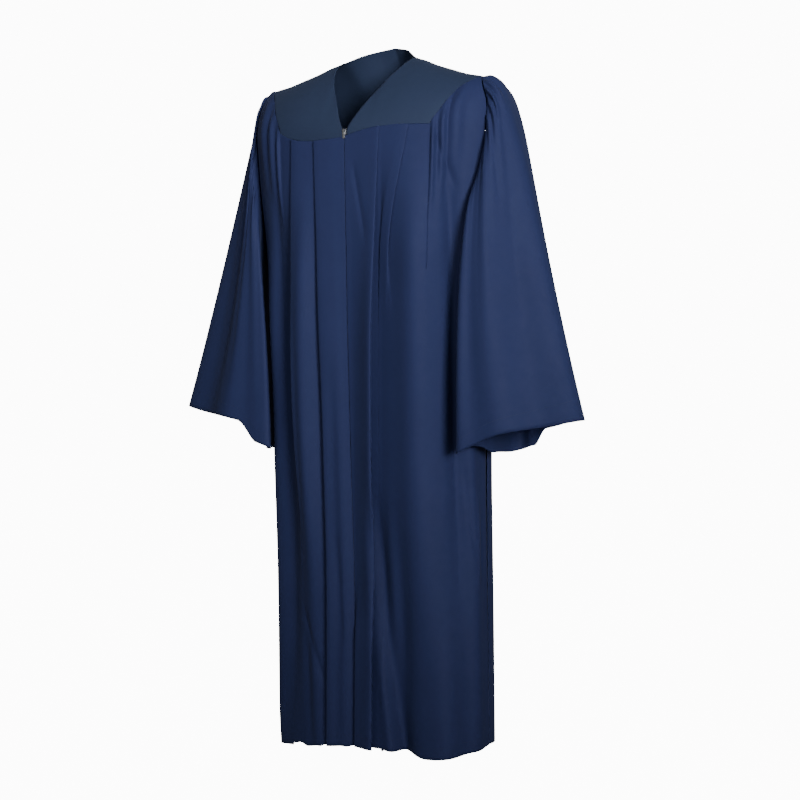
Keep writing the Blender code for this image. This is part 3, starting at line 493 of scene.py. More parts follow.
def slope_point(x, down, back):
    """A point x across and part way down from the shoulder line, where 1 is the chest:
    the depth follows sin and the height cos of a quarter turn, each to 2 / bend."""
    form = BACK_FORM if back else FRONT_FORM
    x, down = np.broadcast_arrays(np.asarray(x, float), np.asarray(down, float))
    chest = form.point(form.share_at(x, CHEST_HEIGHT), np.full(x.shape, CHEST_HEIGHT))
    ridge = read(x, SHOULDER_LINE, 1)
    ridge_y = read(x, SHOULDER_LINE, 2)
    bend = read(x, SHOULDER_LINE, 3)
    turn = np.clip(down, 0.0, 1.0) * math.pi / 2.0
    y = ridge_y + (chest[..., 1] - ridge_y) * np.sin(turn) ** (2.0 / bend)
    height = CHEST_HEIGHT + (ridge - CHEST_HEIGHT) * np.cos(turn) ** (2.0 / bend)
    above = np.stack([x, y, height], axis=-1)
    low = CHEST_HEIGHT - (np.maximum(down, 1.0) - 1.0) * 0.2
    below = form.point(form.share_at(x, low), low)
    return np.where((down > 1.0)[..., None], below, above)


def down_at(x, height):
    """How far down from the shoulder line a height is, the inverse of slope_point."""
    x, height = np.broadcast_arrays(np.asarray(x, float), np.asarray(height, float))
    ridge = read(x, SHOULDER_LINE, 1)
    bend = read(x, SHOULDER_LINE, 3)
    rise = np.clip((height - CHEST_HEIGHT) / (ridge - CHEST_HEIGHT), 0.0, 1.0)
    above = np.arccos(rise ** (bend / 2.0)) / (math.pi / 2.0)
    return np.where(height < CHEST_HEIGHT, 1.0 + (CHEST_HEIGHT - height) / 0.2, above)


def surface_normals(grid, closed=False):
    """Unit normals of a grid, from the differences across it and down it."""
    if closed:
        across = np.roll(grid, -1, axis=1) - np.roll(grid, 1, axis=1)
    else:
        across = np.gradient(grid, axis=1)
    normal = np.cross(across, np.gradient(grid, axis=0))
    return normal / np.maximum(np.linalg.norm(normal, axis=2, keepdims=True), 1e-9)


def crease_lift(along, height, creases, segments=10):
    """Lift of bent soft creases. Each follows a quadratic line through its middle point, and
    its lift falls off as exp(-(distance / half_width) ** power), steeper on the side that
    lean is above 0 for, and tapers to nothing over the last third at both ends."""
    lift = np.zeros(np.broadcast(along, height).shape)
    for a1, h1, a2, h2, a3, h3, half_width, out, lean, power in creases:
        t = np.linspace(0.0, 1.0, segments + 1)
        line_a = a1 * (1 - t) * (1 - 2 * t) + 4 * a2 * t * (1 - t) + a3 * t * (2 * t - 1)
        line_h = h1 * (1 - t) * (1 - 2 * t) + 4 * h2 * t * (1 - t) + h3 * t * (2 * t - 1)
        best = np.full(lift.shape, 1e9)
        side = np.zeros(lift.shape)
        place = np.zeros(lift.shape)
        for k in range(segments):
            da, dh = line_a[k + 1] - line_a[k], line_h[k + 1] - line_h[k]
            size = da * da + dh * dh
            u = np.clip(((along - line_a[k]) * da + (height - line_h[k]) * dh) / size, 0.0, 1.0)
            ga, gh = along - line_a[k] - u * da, height - line_h[k] - u * dh
            distance = np.hypot(ga, gh)
            nearer = distance < best
            best = np.where(nearer, distance, best)
            side = np.where(nearer, np.sign(ga * dh - gh * da), side)
            place = np.where(nearer, (k + u) / segments, place)
        taper = smooth(place, 0.0, 0.3) * (1.0 - smooth(place, 0.7, 1.0))
        wide = half_width * (1.0 - lean * side)
        lift += out * np.exp(-(best / wide) ** power) * taper
    return lift


def finer(values, steps):
    """Values between the columns of a table, by a curve that leaves each column along the
    line between its neighbours. steps says how many fine columns each stretch takes."""
    place = np.concatenate([k + np.arange(n) / n for k, n in enumerate(steps)] + [[len(steps)]])
    k = np.minimum(place.astype(int), len(steps) - 1)
    t = (place - k)[None, :]
    last = values.shape[1] - 1
    a, b = values[:, np.maximum(k - 1, 0)], values[:, k]
    c, d = values[:, k + 1], values[:, np.minimum(k + 2, last)]
    return b + 0.5 * t * (c - a + t * (2 * a - 5 * b + 4 * c - d + t * (3 * (b - c) + d - a)))


def down_rows(count, power=1.35):
    """Shares of the way down, closer together near the top."""
    t = np.linspace(0.0, 1.0, count)
    return (0.35 * t + 0.65 * t ** power)


def seam_height(side, x):
    """Height of a front yoke's lower seam."""
    return read(x, YOKE_SEAM[side], 1)


def yoke_edge(side, share):
    """The yoke's outer edge, from its lower corner (0) to the shoulder tip (1)."""
    x, height = along_table(YOKE_EDGE[side], share)
    return x, down_at(x, height)


def hem_height(side, run):
    drop = HEM_DROP[side]
    return HEM_HEIGHT - np.interp(run, column(drop, 0), column(drop, 1))


def soft_folds(side, along, height):
    """Broad folds: bells across the cloth whose middle shifts from the top to the hem."""
    lift = np.zeros(along.shape)
    share = np.clip((CHEST_HEIGHT - height) / (CHEST_HEIGHT - HEM_HEIGHT), 0.0, 1.0)
    for top, hem, half_width, starts, full, fades, ends, out in BODY_FOLDS[side]:
        bell = np.exp(-((along - top - (hem - top) * share) / half_width) ** 2)
        lift += out * bell * smooth(-height, -starts, -full) * (1.0 - smooth(-height, -fades, -ends))
    return lift


def under_fold(side, beyond, height):
    """Depth of the cloth that comes out from under the first pleat, by how far it is beyond
    the fold edge."""
    half_width, starts, full, fades, ends, out = UNDER_FOLD[side]
    bell = np.exp(-(np.maximum(beyond, 0.0) / half_width) ** 2)
    return out * bell * smooth(-height, -starts, -full) * (1.0 - smooth(-height, -fades, -ends))


FLUTES = 3
FLUTE_COLUMNS = 15
ARMHOLE_COLUMNS = 7


def front_columns(side):
    """The main columns of a front: kind, x and height at the top, share, hem run, and for a
    pleat which one, how far along it and how high in its stack."""
    first, second = PLEATS[side]
    hem_length = float(FRONT_FORM.length(HEM_HEIGHT))
    rows = []
    for share in (0.0, 0.30, 0.62):
        x = CENTRE_GAP + (first[0] - 1.55 * first[4] - CENTRE_GAP) * share
        rows.append(("centre", x, None, share, 0.0, 0, (0.0, 0.0, 0.0)))
    for which, pleat in enumerate((first, second)):
        for shape in PLEAT_SHAPE:
            rows.append(("pleat", pleat[0] + shape[0] * pleat[4], None, 0.0, 0.0, which, shape))
        if which == 0:
            rows.append(("between", 0.5 * (first[0] + second[0]), None, 0.5, 0.0, 0, (0.0, 0.0, 0.0)))
    x = 0.5 * (second[0] + 0.6 * second[4] + YOKE_EDGE[side][0][0])
    rows.append(("outer", x, None, 0.5, 0.0, 0, (0.0, 0.0, 0.0)))
    for i in range(FLUTE_COLUMNS):
        share = i / FLUTE_COLUMNS
        x, down = yoke_edge(side, share)
        height = float(slope_point(x, down, False)[2])
        rows.append(("flute", float(x), height, share, 0.165 + 0.045 * share, 0, (0.0, 0.0, 0.0)))
    for i in range(ARMHOLE_COLUMNS + 1):
        share = i / ARMHOLE_COLUMNS
        x, height = along_table(ARMHOLE_FRONT, share)
        hem = 0.210 + (hem_length - 0.210) * share
        rows.append(("armhole", float(x), float(height), share, hem, 0, (0.0, 0.0, 0.0)))
    return rows


def front_surface(side, crease_depth):
    """A front. Its main columns give the run over the form, the height and the lift off it at
    each row; pleats run forward, back and forward again while they rise and fall; curves
    between the columns make it fine; then broad folds and creases lift it off the form."""
    columns = front_columns(side)
    share = down_rows(FRONT_ROWS)
    shape = (FRONT_ROWS, len(columns))
    runs, heights, lifts = np.zeros(shape), np.zeros(shape), np.zeros(shape)
    for j, (kind, x, top, across, hem_run, which, pleat_shape) in enumerate(columns):
        if top is None:
            top = float(seam_height(side, x))
        top -= SEAM_CLEARANCE
        hem_along = hem_run if kind in ("flute", "armhole") else x
        if kind == "pleat":
            hem_along = PLEATS[side][which][3] + PLEATS[side][which][5] * pleat_shape[0]
        hem = float(hem_height(side, hem_along))
        height = top + (hem - top) * share
        heights[:, j] = height
        length = FRONT_FORM.length(np.minimum(height, CHEST_HEIGHT))
        if kind == "pleat":
            top_x, high_x, mid_x, hem_x, deep_top, deep_hem, stack_top, stack_hem, opens, opened = \
                PLEATS[side][which]
            edge = curve(-height, (-top, 0.40, 0.75, -hem), (top_x, high_x, mid_x, hem_x))
            deep = deep_top + (deep_hem - deep_top) * smooth(share, 0.0, 0.7)
            stack = stack_top + (stack_hem - stack_top) * smooth(share, 0.0, 0.35)
            folded = 1.0 - smooth(share, opens, opened)
            runs[:, j] = (edge + deep * (folded * pleat_shape[0] + (1.0 - folded) * pleat_shape[2])) / length
            lifts[:, j] = stack * pleat_shape[1] * folded
        elif kind in ("flute", "armhole"):
            start = float(FRONT_FORM.share_at(x, top))
            end = hem_run / float(FRONT_FORM.length(hem))
            eased = (smooth(share, -0.15, 1.0) - smooth(0.0, -0.15, 1.0)) / (1.0 - smooth(0.0, -0.15, 1.0))
            runs[:, j] = start + (end - start) * eased
            if kind == "flute":
                wave = 0.5 - 0.5 * math.cos(2.0 * math.pi * FLUTES * across)
                swell = (0.30 + 0.70 * smooth(share, 0.0, 0.03)) * (1.0 - smooth(share, 0.05, 0.17))
                lifts[:, j] = FLUTE_DEPTH[side] * wave * swell
    kinds = [item[0] for item in columns]
    first_pleat, between = kinds.index("pleat"), kinds.index("between")
    outer, flute = kinds.index("outer"), kinds.index("flute")
    length = FRONT_FORM.length(np.minimum(heights[:, 0], CHEST_HEIGHT))
    for j in range(first_pleat):
        start = CENTRE_GAP / length
        runs[:, j] = start + (runs[:, first_pleat] - start) * columns[j][3]
        lifts[:, j] = lifts[:, first_pleat] * smooth(columns[j][3], -0.25, 1.1)
    runs[:, between] = 0.5 * (runs[:, between - 1] + runs[:, between + 1])
    lifts[:, between] = 0.5 * (lifts[:, between - 1] + lifts[:, between + 1])
    runs[:, outer] = 0.5 * (runs[:, outer - 1] + runs[:, flute])
    steps = [FINE_STEPS[kind] for kind in kinds[:-1]]
    edge = (runs[:, first_pleat + 3] * length)[:, None]
    inner = slice(0, between)
    rise = np.clip(runs[:, inner] * length[:, None] / edge, 0.06, 1.0)
    risen = STRIP_RISE[side] * (1.0 - smooth(-heights[:, inner], *STRIP_RISE_FADES))
    lifts[:, inner] *= 1.0 + risen * (rise - 1.0)
    beneath = smooth(np.arange(len(columns)) - first_pleat, 4.0, 7.0)[None, :] * np.ones(shape)
    runs, heights, lifts, beneath = (finer(table, steps) for table in (runs, heights, lifts, beneath))
    length = FRONT_FORM.length(np.minimum(heights, CHEST_HEIGHT))
    along = runs * length
    settle = smooth(share, 0.0, 0.05)[:, None]
    lifts = lifts + soft_folds(side, along, heights) * settle
    lifts = lifts + beneath * under_fold(side, along - edge, heights)
    ridge = np.exp(-((along - edge) / EDGE_RIDGE_WIDTH) ** 2) * smooth(-heights, 0.25, 0.60)
    lifts = lifts + (1.0 - beneath) * EDGE_RIDGE[side] * ridge
    lifts = lifts + crease_depth * crease_lift(along, heights, FRONT_CREASES[side]) * settle
    steady = np.minimum(np.maximum.accumulate(runs, axis=1), 0.9995)
    points = FRONT_FORM.point(runs, heights) + FRONT_FORM.normal(steady, heights) * lifts[..., None]
    shift_x, shift_y = FRONT_FORM.shift(heights)
    points[..., 0] = SIDE_SIGN[side] * points[..., 0] + shift_x
    points[..., 1] += shift_y
    return points


def armhole_back_at(height):
    """How far across the back armhole edge is at a height."""
    return np.interp(-np.asarray(height), -column(ARMHOLE_BACK, 1), column(ARMHOLE_BACK, 0))


BACK_COLUMNS = 180
BACK_ROWS = 190
ARM_COLUMNS = 18


def back_surface(crease_depth):
    """The back, from the wearer's right side to the left: gathers at the yoke seam that
    deepen into even flutes, uneven in depth, and fade towards the armholes."""
    seam_x = float(armhole_back_at(BACK_SEAM_HEIGHT))
    hem_length = float(BACK_FORM.length(HEM_HEIGHT))
    middle = np.linspace(0.0, 1.0, BACK_COLUMNS + 1)
    arm = np.arange(1, ARM_COLUMNS + 1) / ARM_COLUMNS
    arm_top = BACK_SEAM_HEIGHT + (ARMHOLE_BACK[-1][1] - BACK_SEAM_HEIGHT) * arm
    turn = np.concatenate([-arm[::-1], middle, 1.0 + arm])
    arm_x = armhole_back_at(arm_top)
    x = np.concatenate([-arm_x[::-1], seam_x * (2 * middle - 1), arm_x])
    seam_top = np.full(BACK_COLUMNS + 1, BACK_SEAM_HEIGHT - SEAM_CLEARANCE)
    top = np.concatenate([arm_top[::-1], seam_top, arm_top])
    outer_hem = hem_length * (0.80 + 0.20 * arm)
    hem_run = np.concatenate([-outer_hem[::-1], 0.80 * hem_length * (2 * middle - 1), outer_hem])
    side_share = 0.5 - 0.5 * hem_run / hem_length
    hem = HEM_HEIGHT - HEM_DROP["left"][-1][1] * (1.0 - side_share) - HEM_DROP["right"][-1][1] * side_share
    share = down_rows(BACK_ROWS)[:, None]
    heights = top + (hem - top) * share
    start = BACK_FORM.share_at(np.abs(x), top)
    run = np.minimum(start + (np.abs(hem_run) / hem_length - start) * share, 1.0)
    points = BACK_FORM.point(run, heights)
    inside = np.clip(turn, 0.0, 1.0)
    fade = 1.0 - smooth(np.abs(2.0 * inside - 1.0), BACK_FADE_FROM, BACK_FADE_BY)
    depth = BACK_FLUTE_TOP + (BACK_FLUTE_LOW - BACK_FLUTE_TOP) * smooth(share, 0.0, 0.5)
    uneven = 1.0 + 0.25 * np.sin(7.0 * turn + 1.0) + 0.15 * np.sin(17.0 * turn)
    wave = 0.5 - 0.5 * np.cos(2.0 * math.pi * BACK_FLUTES * turn)
    within = (turn >= 0.0) & (turn <= 1.0)
    lift = np.where(within, depth * wave * fade * uneven, 0.0)
    side = np.where(hem_run < 0.0, -1.0, 1.0)
    along = side * run * BACK_FORM.length(np.minimum(heights, CHEST_HEIGHT))
    lift = lift + crease_depth * crease_lift(along, heights, BACK_CREASES) * smooth(share, 0.0, 0.05)
    points = points + BACK_FORM.normal(np.minimum(run, 0.9995), heights) * lift[..., None]
    shift_x, shift_y = BACK_FORM.shift(heights)
    points[..., 0] = side * points[..., 0] + shift_x
    points[..., 1] += shift_y
    return points


def front_yoke_surface(side, rows=70, columns=64):
    """A front yoke, from its lower seam up to the shoulder seam and from the neck outwards.
    Its lower edge is turned in and down behind the front."""
    neck_rows = (0.0, 0.08, 0.20, 0.45, 0.61, 0.74, 0.94, 1.0)
    neck_x = [ZIP_SLOT] + [row[0] for row in NECK_FRONT]
    neck_z = [float(seam_height(side, ZIP_SLOT))] + [row[1] for row in NECK_FRONT]
    up = np.linspace(0.0, 1.0, rows)[:, None]
    across = np.linspace(0.0, 1.0, columns)
    inner_x, inner_z = curve(up, neck_rows, neck_x), curve(up, neck_rows, neck_z)
    inner_down = down_at(inner_x, inner_z)
    outer_x, outer_down = yoke_edge(side, up)
    x = inner_x + (outer_x - inner_x) * across
    down = inner_down + (outer_down - inner_down) * across
    seam_down = down_at(x, seam_height(side, x))
    down = down + (seam_down - down) * (1.0 - smooth(up, 0.0, 0.10))
    points = slope_point(x, np.maximum(down, 0.0), False)
    turned = points[:1] + np.array([0.0, YOKE_TURNING, 0.0])
    lower = turned - np.array([0.0, 0.0, 2.5 * YOKE_TURNING])
    points = np.concatenate([lower, turned, points])
    points[..., 0] *= SIDE_SIGN[side]
    return points


def back_yoke_surface(rows=60, columns=121):
    """The back yoke, from the neck and shoulder seams down to its lower seam."""
    seam_x = float(armhole_back_at(BACK_SEAM_HEIGHT))
    place = np.linspace(-1.0, 1.0, columns)
    share = np.abs(place)
    top_x = SHOULDER_TIP_X * share ** 1.05
    low_x = seam_x * share
    down = np.linspace(0.0, 1.0, rows)[:, None]
    x = top_x + (low_x - top_x) * down
    edge_height = ARMHOLE_BACK[0][1] + (BACK_SEAM_HEIGHT - ARMHOLE_BACK[0][1]) * down ** 1.3
    edge_x = armhole_back_at(edge_height)
    x = x + (edge_x - x) * smooth(share, 0.85, 1.0)
    start = curve(top_x, column(NECK_BACK, 0), column(NECK_BACK, 1))
    end = down_at(low_x, np.full(columns, BACK_SEAM_HEIGHT))
    points = slope_point(x, start + (end - start) * down, True)
    points[-1, :, 2] = BACK_SEAM_HEIGHT
    points[..., 0] *= np.where(place < 0.0, -1.0, 1.0)
    return points


def round_table(turn, table, index):
    """A smooth closed curve through one column of a table whose first column is the turn."""
    values = column(table, index)
    count = len(values)
    place = (np.asarray(turn) % 1.0) * count
    k = np.floor(place).astype(int) % count
    t = place - np.floor(place)
    a, b, c, d = (values[(k + n) % count] for n in (-1, 0, 1, 2))
    return b + 0.5 * t * (c - a + t * (2.0 * a - 5.0 * b + 4.0 * c - d + t * (3.0 * (b - c) + d - a)))


def armhole_points(turn):
    """Points on the armhole edge: 0 at the shoulder tip, 0.5 under the arm, front first."""
    points = []
    for table, form, place in ((ARMHOLE_FRONT, FRONT_FORM, turn * 2.0),
                               (ARMHOLE_BACK, BACK_FORM, (1.0 - turn) * 2.0)):
        rows = np.linspace(0.0, 1.0, len(table))
        x = curve(np.clip(place, 0, 1), rows, column(table, 0))
        height = curve(np.clip(place, 0, 1), rows, column(table, 1))
        point = form.point(form.share_at(x, height), height)
        shift_x, shift_y = form.shift(height)
        point[..., 0] += shift_x
        point[..., 1] += shift_y
        points.append(point)
    return np.where((turn <= 0.5)[:, None], points[0], points[1])


SLEEVE_ROWS = 140
SLEEVE_COLUMNS = 264


def sleeve_surface(side, crease_depth):
    """A sleeve: threads from the armhole to the cuff, each a cubic that leaves the armhole
    along its reach and is steered by its guide. Gathers at the head are a fine wave, the hang
    a slow one, and creases lie on turn (as metres round) and distance down."""
    turn = np.arange(SLEEVE_COLUMNS) / SLEEVE_COLUMNS
    table = SLEEVE_STATIONS[side]
    start = armhole_points(turn) + np.array([SLEEVE_CLEARANCE, 0.0, 0.0])
    reach, guide, cuff = (np.stack([round_table(turn, table, n) for n in range(k, k + 3)], axis=-1)
                          for k in (1, 4, 7))
    starts, full, fades, ends, drop = CUFF_DROPS[side]
    cuff[:, 2] -= drop * smooth(turn, starts, full) * (1.0 - smooth(turn, fades, ends))
    s = np.linspace(0.0, 1.0, SLEEVE_ROWS)[:, None, None]
    grid = ((1 - s) ** 3 * start + 3 * s * (1 - s) ** 2 * (start + reach)
            + 3 * s * s * (1 - s) * guide + s ** 3 * cuff)
    normals = surface_normals(grid, closed=True)
    if (normals * (grid - grid.mean(axis=1, keepdims=True))).sum() < 0:
        normals = -normals
    s = s[..., 0]
    top = 1.0 - np.abs(((turn + 0.5) % 1.0) - 0.5) / 0.5
    head = smooth(top, 0.35, 0.75) * smooth(s, 0.0, 0.06) * (1.0 - smooth(s, 0.10, 0.34))
    gathers = 0.0032 * np.cos(2.0 * math.pi * 22.0 * turn) * head
    outer = smooth(np.abs(turn - 0.5), 0.14, 0.24)
    hang = 0.0075 * np.sin(2.0 * math.pi * 5.0 * turn + 0.6) * smooth(s, 0.25, 0.9) * outer
    creases = crease_lift(0.5 * turn * np.ones_like(s), 0.6 * s, SLEEVE_CREASES[side])
    creases = crease_depth * creases * smooth(s, 0.0, 0.08)
    grid = grid + normals * (gathers + hang + creases)[..., None]
    grid[..., 0] *= SIDE_SIGN[side]
    return grid


def grid_faces(rows, columns, closed):
    """Corner numbers of every face of a grid of points, row by row."""
    last = columns if closed else columns - 1
    i, j = np.meshgrid(np.arange(rows - 1), np.arange(last), indexing="ij")
    k = (j + 1) % columns
    return np.stack([i * columns + j, i * columns + k, (i + 1) * columns + k, (i + 1) * columns + j],
                    axis=-1).reshape(-1, 4)


def mesh_from(name, points, faces, finish, smooth_faces=True):
    """A mesh object from an array of points and an array of faces, all with the same number
    of corners, placed at the origin."""
    mesh = bpy.data.meshes.new(name)
    corners = faces.shape[1]
    mesh.vertices.add(len(points))
    mesh.vertices.foreach_set("co", np.asarray(points, np.float32).ravel())
    mesh.loops.add(faces.size)
    mesh.loops.foreach_set("vertex_index", faces.astype(np.int32).ravel())
    mesh.polygons.add(len(faces))
    mesh.polygons.foreach_set("loop_start", np.arange(0, faces.size, corners, dtype=np.int32))
    mesh.update(calc_edges=True)
    mesh.polygons.foreach_set("use_smooth", np.full(len(faces), smooth_faces))
    mesh.materials.append(finish)
    thing = bpy.data.objects.new(name, mesh)
    bpy.context.scene.collection.objects.link(thing)
    return thing


def cloth_lengths(grid, closed):
    """Metres across and down the cloth at each point, summed along the middle row and column."""
    across = np.linalg.norm(np.diff(grid, axis=1), axis=2)
    down = np.linalg.norm(np.diff(grid, axis=0), axis=2)
    u = np.concatenate([[0.0], np.cumsum(across[len(grid) // 2])])
    v = np.concatenate([[0.0], np.cumsum(down.mean(axis=1))])
    if closed:
        u = np.concatenate([u, [u[-1] + across[len(grid) // 2].mean()]])
    return u, v


def cloth_piece(name, grid, finish, wall, outward, closed=False):
    """A thin shell of cloth from a grid, its faces turned outwards, with a map in metres
    along the weave."""
    rows, columns = grid.shape[:2]
    faces = grid_faces(rows, columns, closed)
    u, v = cloth_lengths(grid, closed)
    i, j = np.meshgrid(np.arange(rows - 1), np.arange(columns if closed else columns - 1), indexing="ij")
    corner_u = np.stack([u[j], u[j + 1], u[j + 1], u[j]], axis=-1).reshape(-1, 4)
    corner_v = np.stack([v[i], v[i], v[i + 1], v[i + 1]], axis=-1).reshape(-1, 4)
    normal = surface_normals(grid, closed)
    if (normal * outward).sum() > 0:
        faces, corner_u, corner_v = (table[:, ::-1] for table in (faces, corner_u, corner_v))
    thing = mesh_from(name, grid.reshape(-1, 3), faces, finish)
    weave = thing.data.uv_layers.new(name="cloth")
    corners = np.stack([corner_u.ravel(), corner_v.ravel()], axis=-1)
    weave.data.foreach_set("uv", corners.astype(np.float32).ravel())
    shell = thing.modifiers.new("wall", "SOLIDIFY")
    shell.thickness = wall
    shell.offset = 0.0
    return thing


def stitch_rows(name, lines, finish, length=0.0022, gap=0.0010, radius=0.00022, sides=6):
    """Rows of stitches: each is a short bar of thread with rounded ends that lies along its
    line, dips at both ends, and is a ring of sides carried over five stations."""
    centres, directions, ups = [], [], []
    for line, normal in lines:
        steps = np.linalg.norm(np.diff(line, axis=0), axis=1)
        run = np.concatenate([[0.0], np.cumsum(steps)])
        count = int(run[-1] / (length + gap))
        at = (np.arange(count) + 0.5) * run[-1] / max(count, 1)
        middle = np.stack([np.interp(at, run, line[:, k]) for k in range(3)], axis=-1)
        ahead = np.stack([np.interp(at + 0.0008, run, line[:, k]) for k in range(3)], axis=-1)
        behind = np.stack([np.interp(at - 0.0008, run, line[:, k]) for k in range(3)], axis=-1)
        up = np.stack([np.interp(at, run, normal[:, k]) for k in range(3)], axis=-1)
        direction = ahead - behind
        centres.append(middle)
        directions.append(direction / np.maximum(np.linalg.norm(direction, axis=1, keepdims=True), 1e-9))
        ups.append(up / np.maximum(np.linalg.norm(up, axis=1, keepdims=True), 1e-9))
    centre, direction, up = (np.concatenate(part) for part in (centres, directions, ups))
    side = np.cross(direction, up)
    stations = np.array([-0.5, -0.36, 0.0, 0.36, 0.5])
    swell = np.array([0.35, 0.9, 1.0, 0.9, 0.35])
    dip = np.array([-1.1, -0.1, 0.35, -0.1, -1.1])
    ring = np.arange(sides) * 2.0 * math.pi / sides
    spine = (centre[:, None, :] + direction[:, None, :] * (stations * length)[None, :, None]
             + up[:, None, :] * (dip * radius)[None, :, None])
    around = (side[:, None, None, :] * np.cos(ring)[None, None, :, None]
              + up[:, None, None, :] * np.sin(ring)[None, None, :, None])
    points = spine[:, :, None, :] + around * (swell * radius)[None, :, None, None]
    count = len(centre)
    faces = grid_faces(5, sides, True)
    all_faces = (faces[None] + (np.arange(count) * 5 * sides)[:, None, None]).reshape(-1, 4)
    return mesh_from(name, points.reshape(-1, 3), all_faces[:, ::-1], finish)


def seam_line(grid, outward, wall, row=None, col=None, closed=False):
    """The line of a sewn row: a row or column of a grid, moved out to the cloth's face, with
    the outward direction at each of its points."""
    normal = surface_normals(grid, closed)
    normal = np.where((normal * outward).sum() > 0, normal, -normal)
    line = grid[row] if col is None else grid[:, col]
    out = normal[row] if col is None else normal[:, col]
    if closed:
        line = np.concatenate([line, line[:1]])
        out = np.concatenate([out, out[:1]])
    return line + out * (0.5 * wall + 0.0001), out


def bricks(name, centres, sizes, finish, taper=0.8):
    """Many small blocks in one mesh. Each has a back of its full size and a front that is
    taper times as wide and high, and both ends are closed."""
    corner = np.array([(-1, 1, -1), (1, 1, -1), (1, 1, 1), (-1, 1, 1),
                       (-1, -1, -1), (1, -1, -1), (1, -1, 1), (-1, -1, 1)], float)
    corner[4:, 0] *= taper
    corner[4:, 2] *= taper
    quads = np.array([(0, 3, 2, 1), (4, 5, 6, 7), (0, 1, 5, 4), (1, 2, 6, 5), (2, 3, 7, 6), (3, 0, 4, 7)])
    points = centres[:, None, :] + 0.5 * corner[None] * np.asarray(sizes)[None, None, :]
    faces = (quads[None] + 8 * np.arange(len(centres))[:, None, None]).reshape(-1, 4)
    return mesh_from(name, points.reshape(-1, 3), faces[:, ::-1], finish, smooth_faces=False)


def tape_face(height):
    """Where the front of the zip's tape is at each height."""
    point = FRONT_FORM.point(0.5 * TAPE_WIDTH / FRONT_FORM.length(height), height)
    shift_x, shift_y = FRONT_FORM.shift(height)
    return shift_x, point[..., 1] + shift_y + TAPE_FACE


class Wire:
    """A shader socket. Adding, taking away, multiplying or dividing it adds a Math node."""

    def __init__(self, finish, socket):
        self.finish = finish
        self.socket = socket

    def __add__(self, other):
        return self.finish.maths("ADD", self, other)

    def __radd__(self, other):
        return self.finish.maths("ADD", other, self)

    def __sub__(self, other):
        return self.finish.maths("SUBTRACT", self, other)

    def __rsub__(self, other):
        return self.finish.maths("SUBTRACT", other, self)

    def __mul__(self, other):
        return self.finish.maths("MULTIPLY", self, other)

    def __rmul__(self, other):
        return self.finish.maths("MULTIPLY", other, self)

    def __truediv__(self, other):
        return self.finish.maths("DIVIDE", self, other)

    def __rtruediv__(self, other):
        return self.finish.maths("DIVIDE", other, self)

    def __pow__(self, other):
        return self.finish.maths("POWER", self, other)


class Finish:
    """A material and the nodes behind its shader."""

    def __init__(self, name):
        self.material = bpy.data.materials.new(name)
        self.material.use_nodes = True
        self.tree = self.material.node_tree
        self.shader = self.tree.nodes["Principled BSDF"]

    def node(self, kind, settings=None, sockets=None, output=0):
        """One node: its settings are made first, then its sockets get values or wires."""
        made = self.tree.nodes.new(kind)
        for key, value in (settings or {}).items():
            if key == "stops":
                while len(made.color_ramp.elements) < len(value):
                    made.color_ramp.elements.new(0.5)
                for element, (place, shade) in zip(made.color_ramp.elements, value):
                    element.position = place
                    element.color = shade
            else:
                setattr(made, key, value)
        for key, value in (sockets or {}).items():
            self.put(made.inputs[key], value)
        return Wire(self, made.outputs[output])

    def put(self, socket, value):
        if isinstance(value, Wire):
            self.tree.links.new(value.socket, socket)
        else:
            socket.default_value = value

    def maths(self, operation, first, second=0.0):
        return self.node("ShaderNodeMath", {"operation": operation}, {0: first, 1: second})

    def mix_colour(self, factor, first, second, how="MIX"):
        settings = {"data_type": "RGBA", "blend_type": how}
        return self.node("ShaderNodeMix", settings, {0: factor, 6: first, 7: second}, output=2)

    def set(self, **values):
        """Values or wires for the shader's own sockets, spaces written as underscores."""
        for key, value in values.items():
            self.put(self.shader.inputs[key.replace("_", " ")], value)
        return self.material


def cloth_finish(name, colour, sheen, weave_pitch=0.00042):
    """Woven matte cloth. Two sets of ridges cross on the cloth's own map in metres, each
    thread's height is sin(pi * along / pitch), and slow noise varies the dye and the gloss."""
    f = Finish(name)
    place = f.node("ShaderNodeUVMap", {"uv_map": "cloth"})
    split = f.node("ShaderNodeSeparateXYZ", None, {0: place})
    u, v = split, Wire(f, split.socket.node.outputs[1])
    warp = f.maths("SINE", u * (math.pi / weave_pitch))
    weft = f.maths("SINE", v * (math.pi / weave_pitch))
    weave = 0.5 + 0.5 * warp * weft
    spots = f.node("ShaderNodeTexCoord", output=3)
    slub = f.node("ShaderNodeTexNoise", None, {"Vector": spots, "Scale": 900.0, "Detail": 2.0})
    dye = f.node("ShaderNodeTexNoise", None, {"Vector": spots, "Scale": 16.0, "Detail": 3.0})
    rub = f.node("ShaderNodeTexNoise", None, {"Vector": spots, "Scale": 60.0, "Detail": 4.0})
    dark = tuple(0.86 * c for c in colour) + (1.0,)
    light = tuple(1.14 * c for c in colour) + (1.0,)
    base = f.mix_colour(dye * 0.6 + slub * 0.4, dark, light)
    pale = tuple(1.22 * c for c in colour) + (1.0,)
    threads = f.mix_colour(weave * 0.35, base, pale)
    height = weave * 0.6 + slub * 0.4
    bump = f.node("ShaderNodeBump", None, {"Strength": 0.16, "Distance": 0.00012, "Height": height})
    return f.set(Base_Color=threads, Roughness=0.66 + 0.16 * rub, Normal=bump, Sheen_Weight=sheen,
                 Sheen_Roughness=0.45, Sheen_Tint=(0.45, 0.60, 1.0, 1.0), Specular_IOR_Level=0.15)


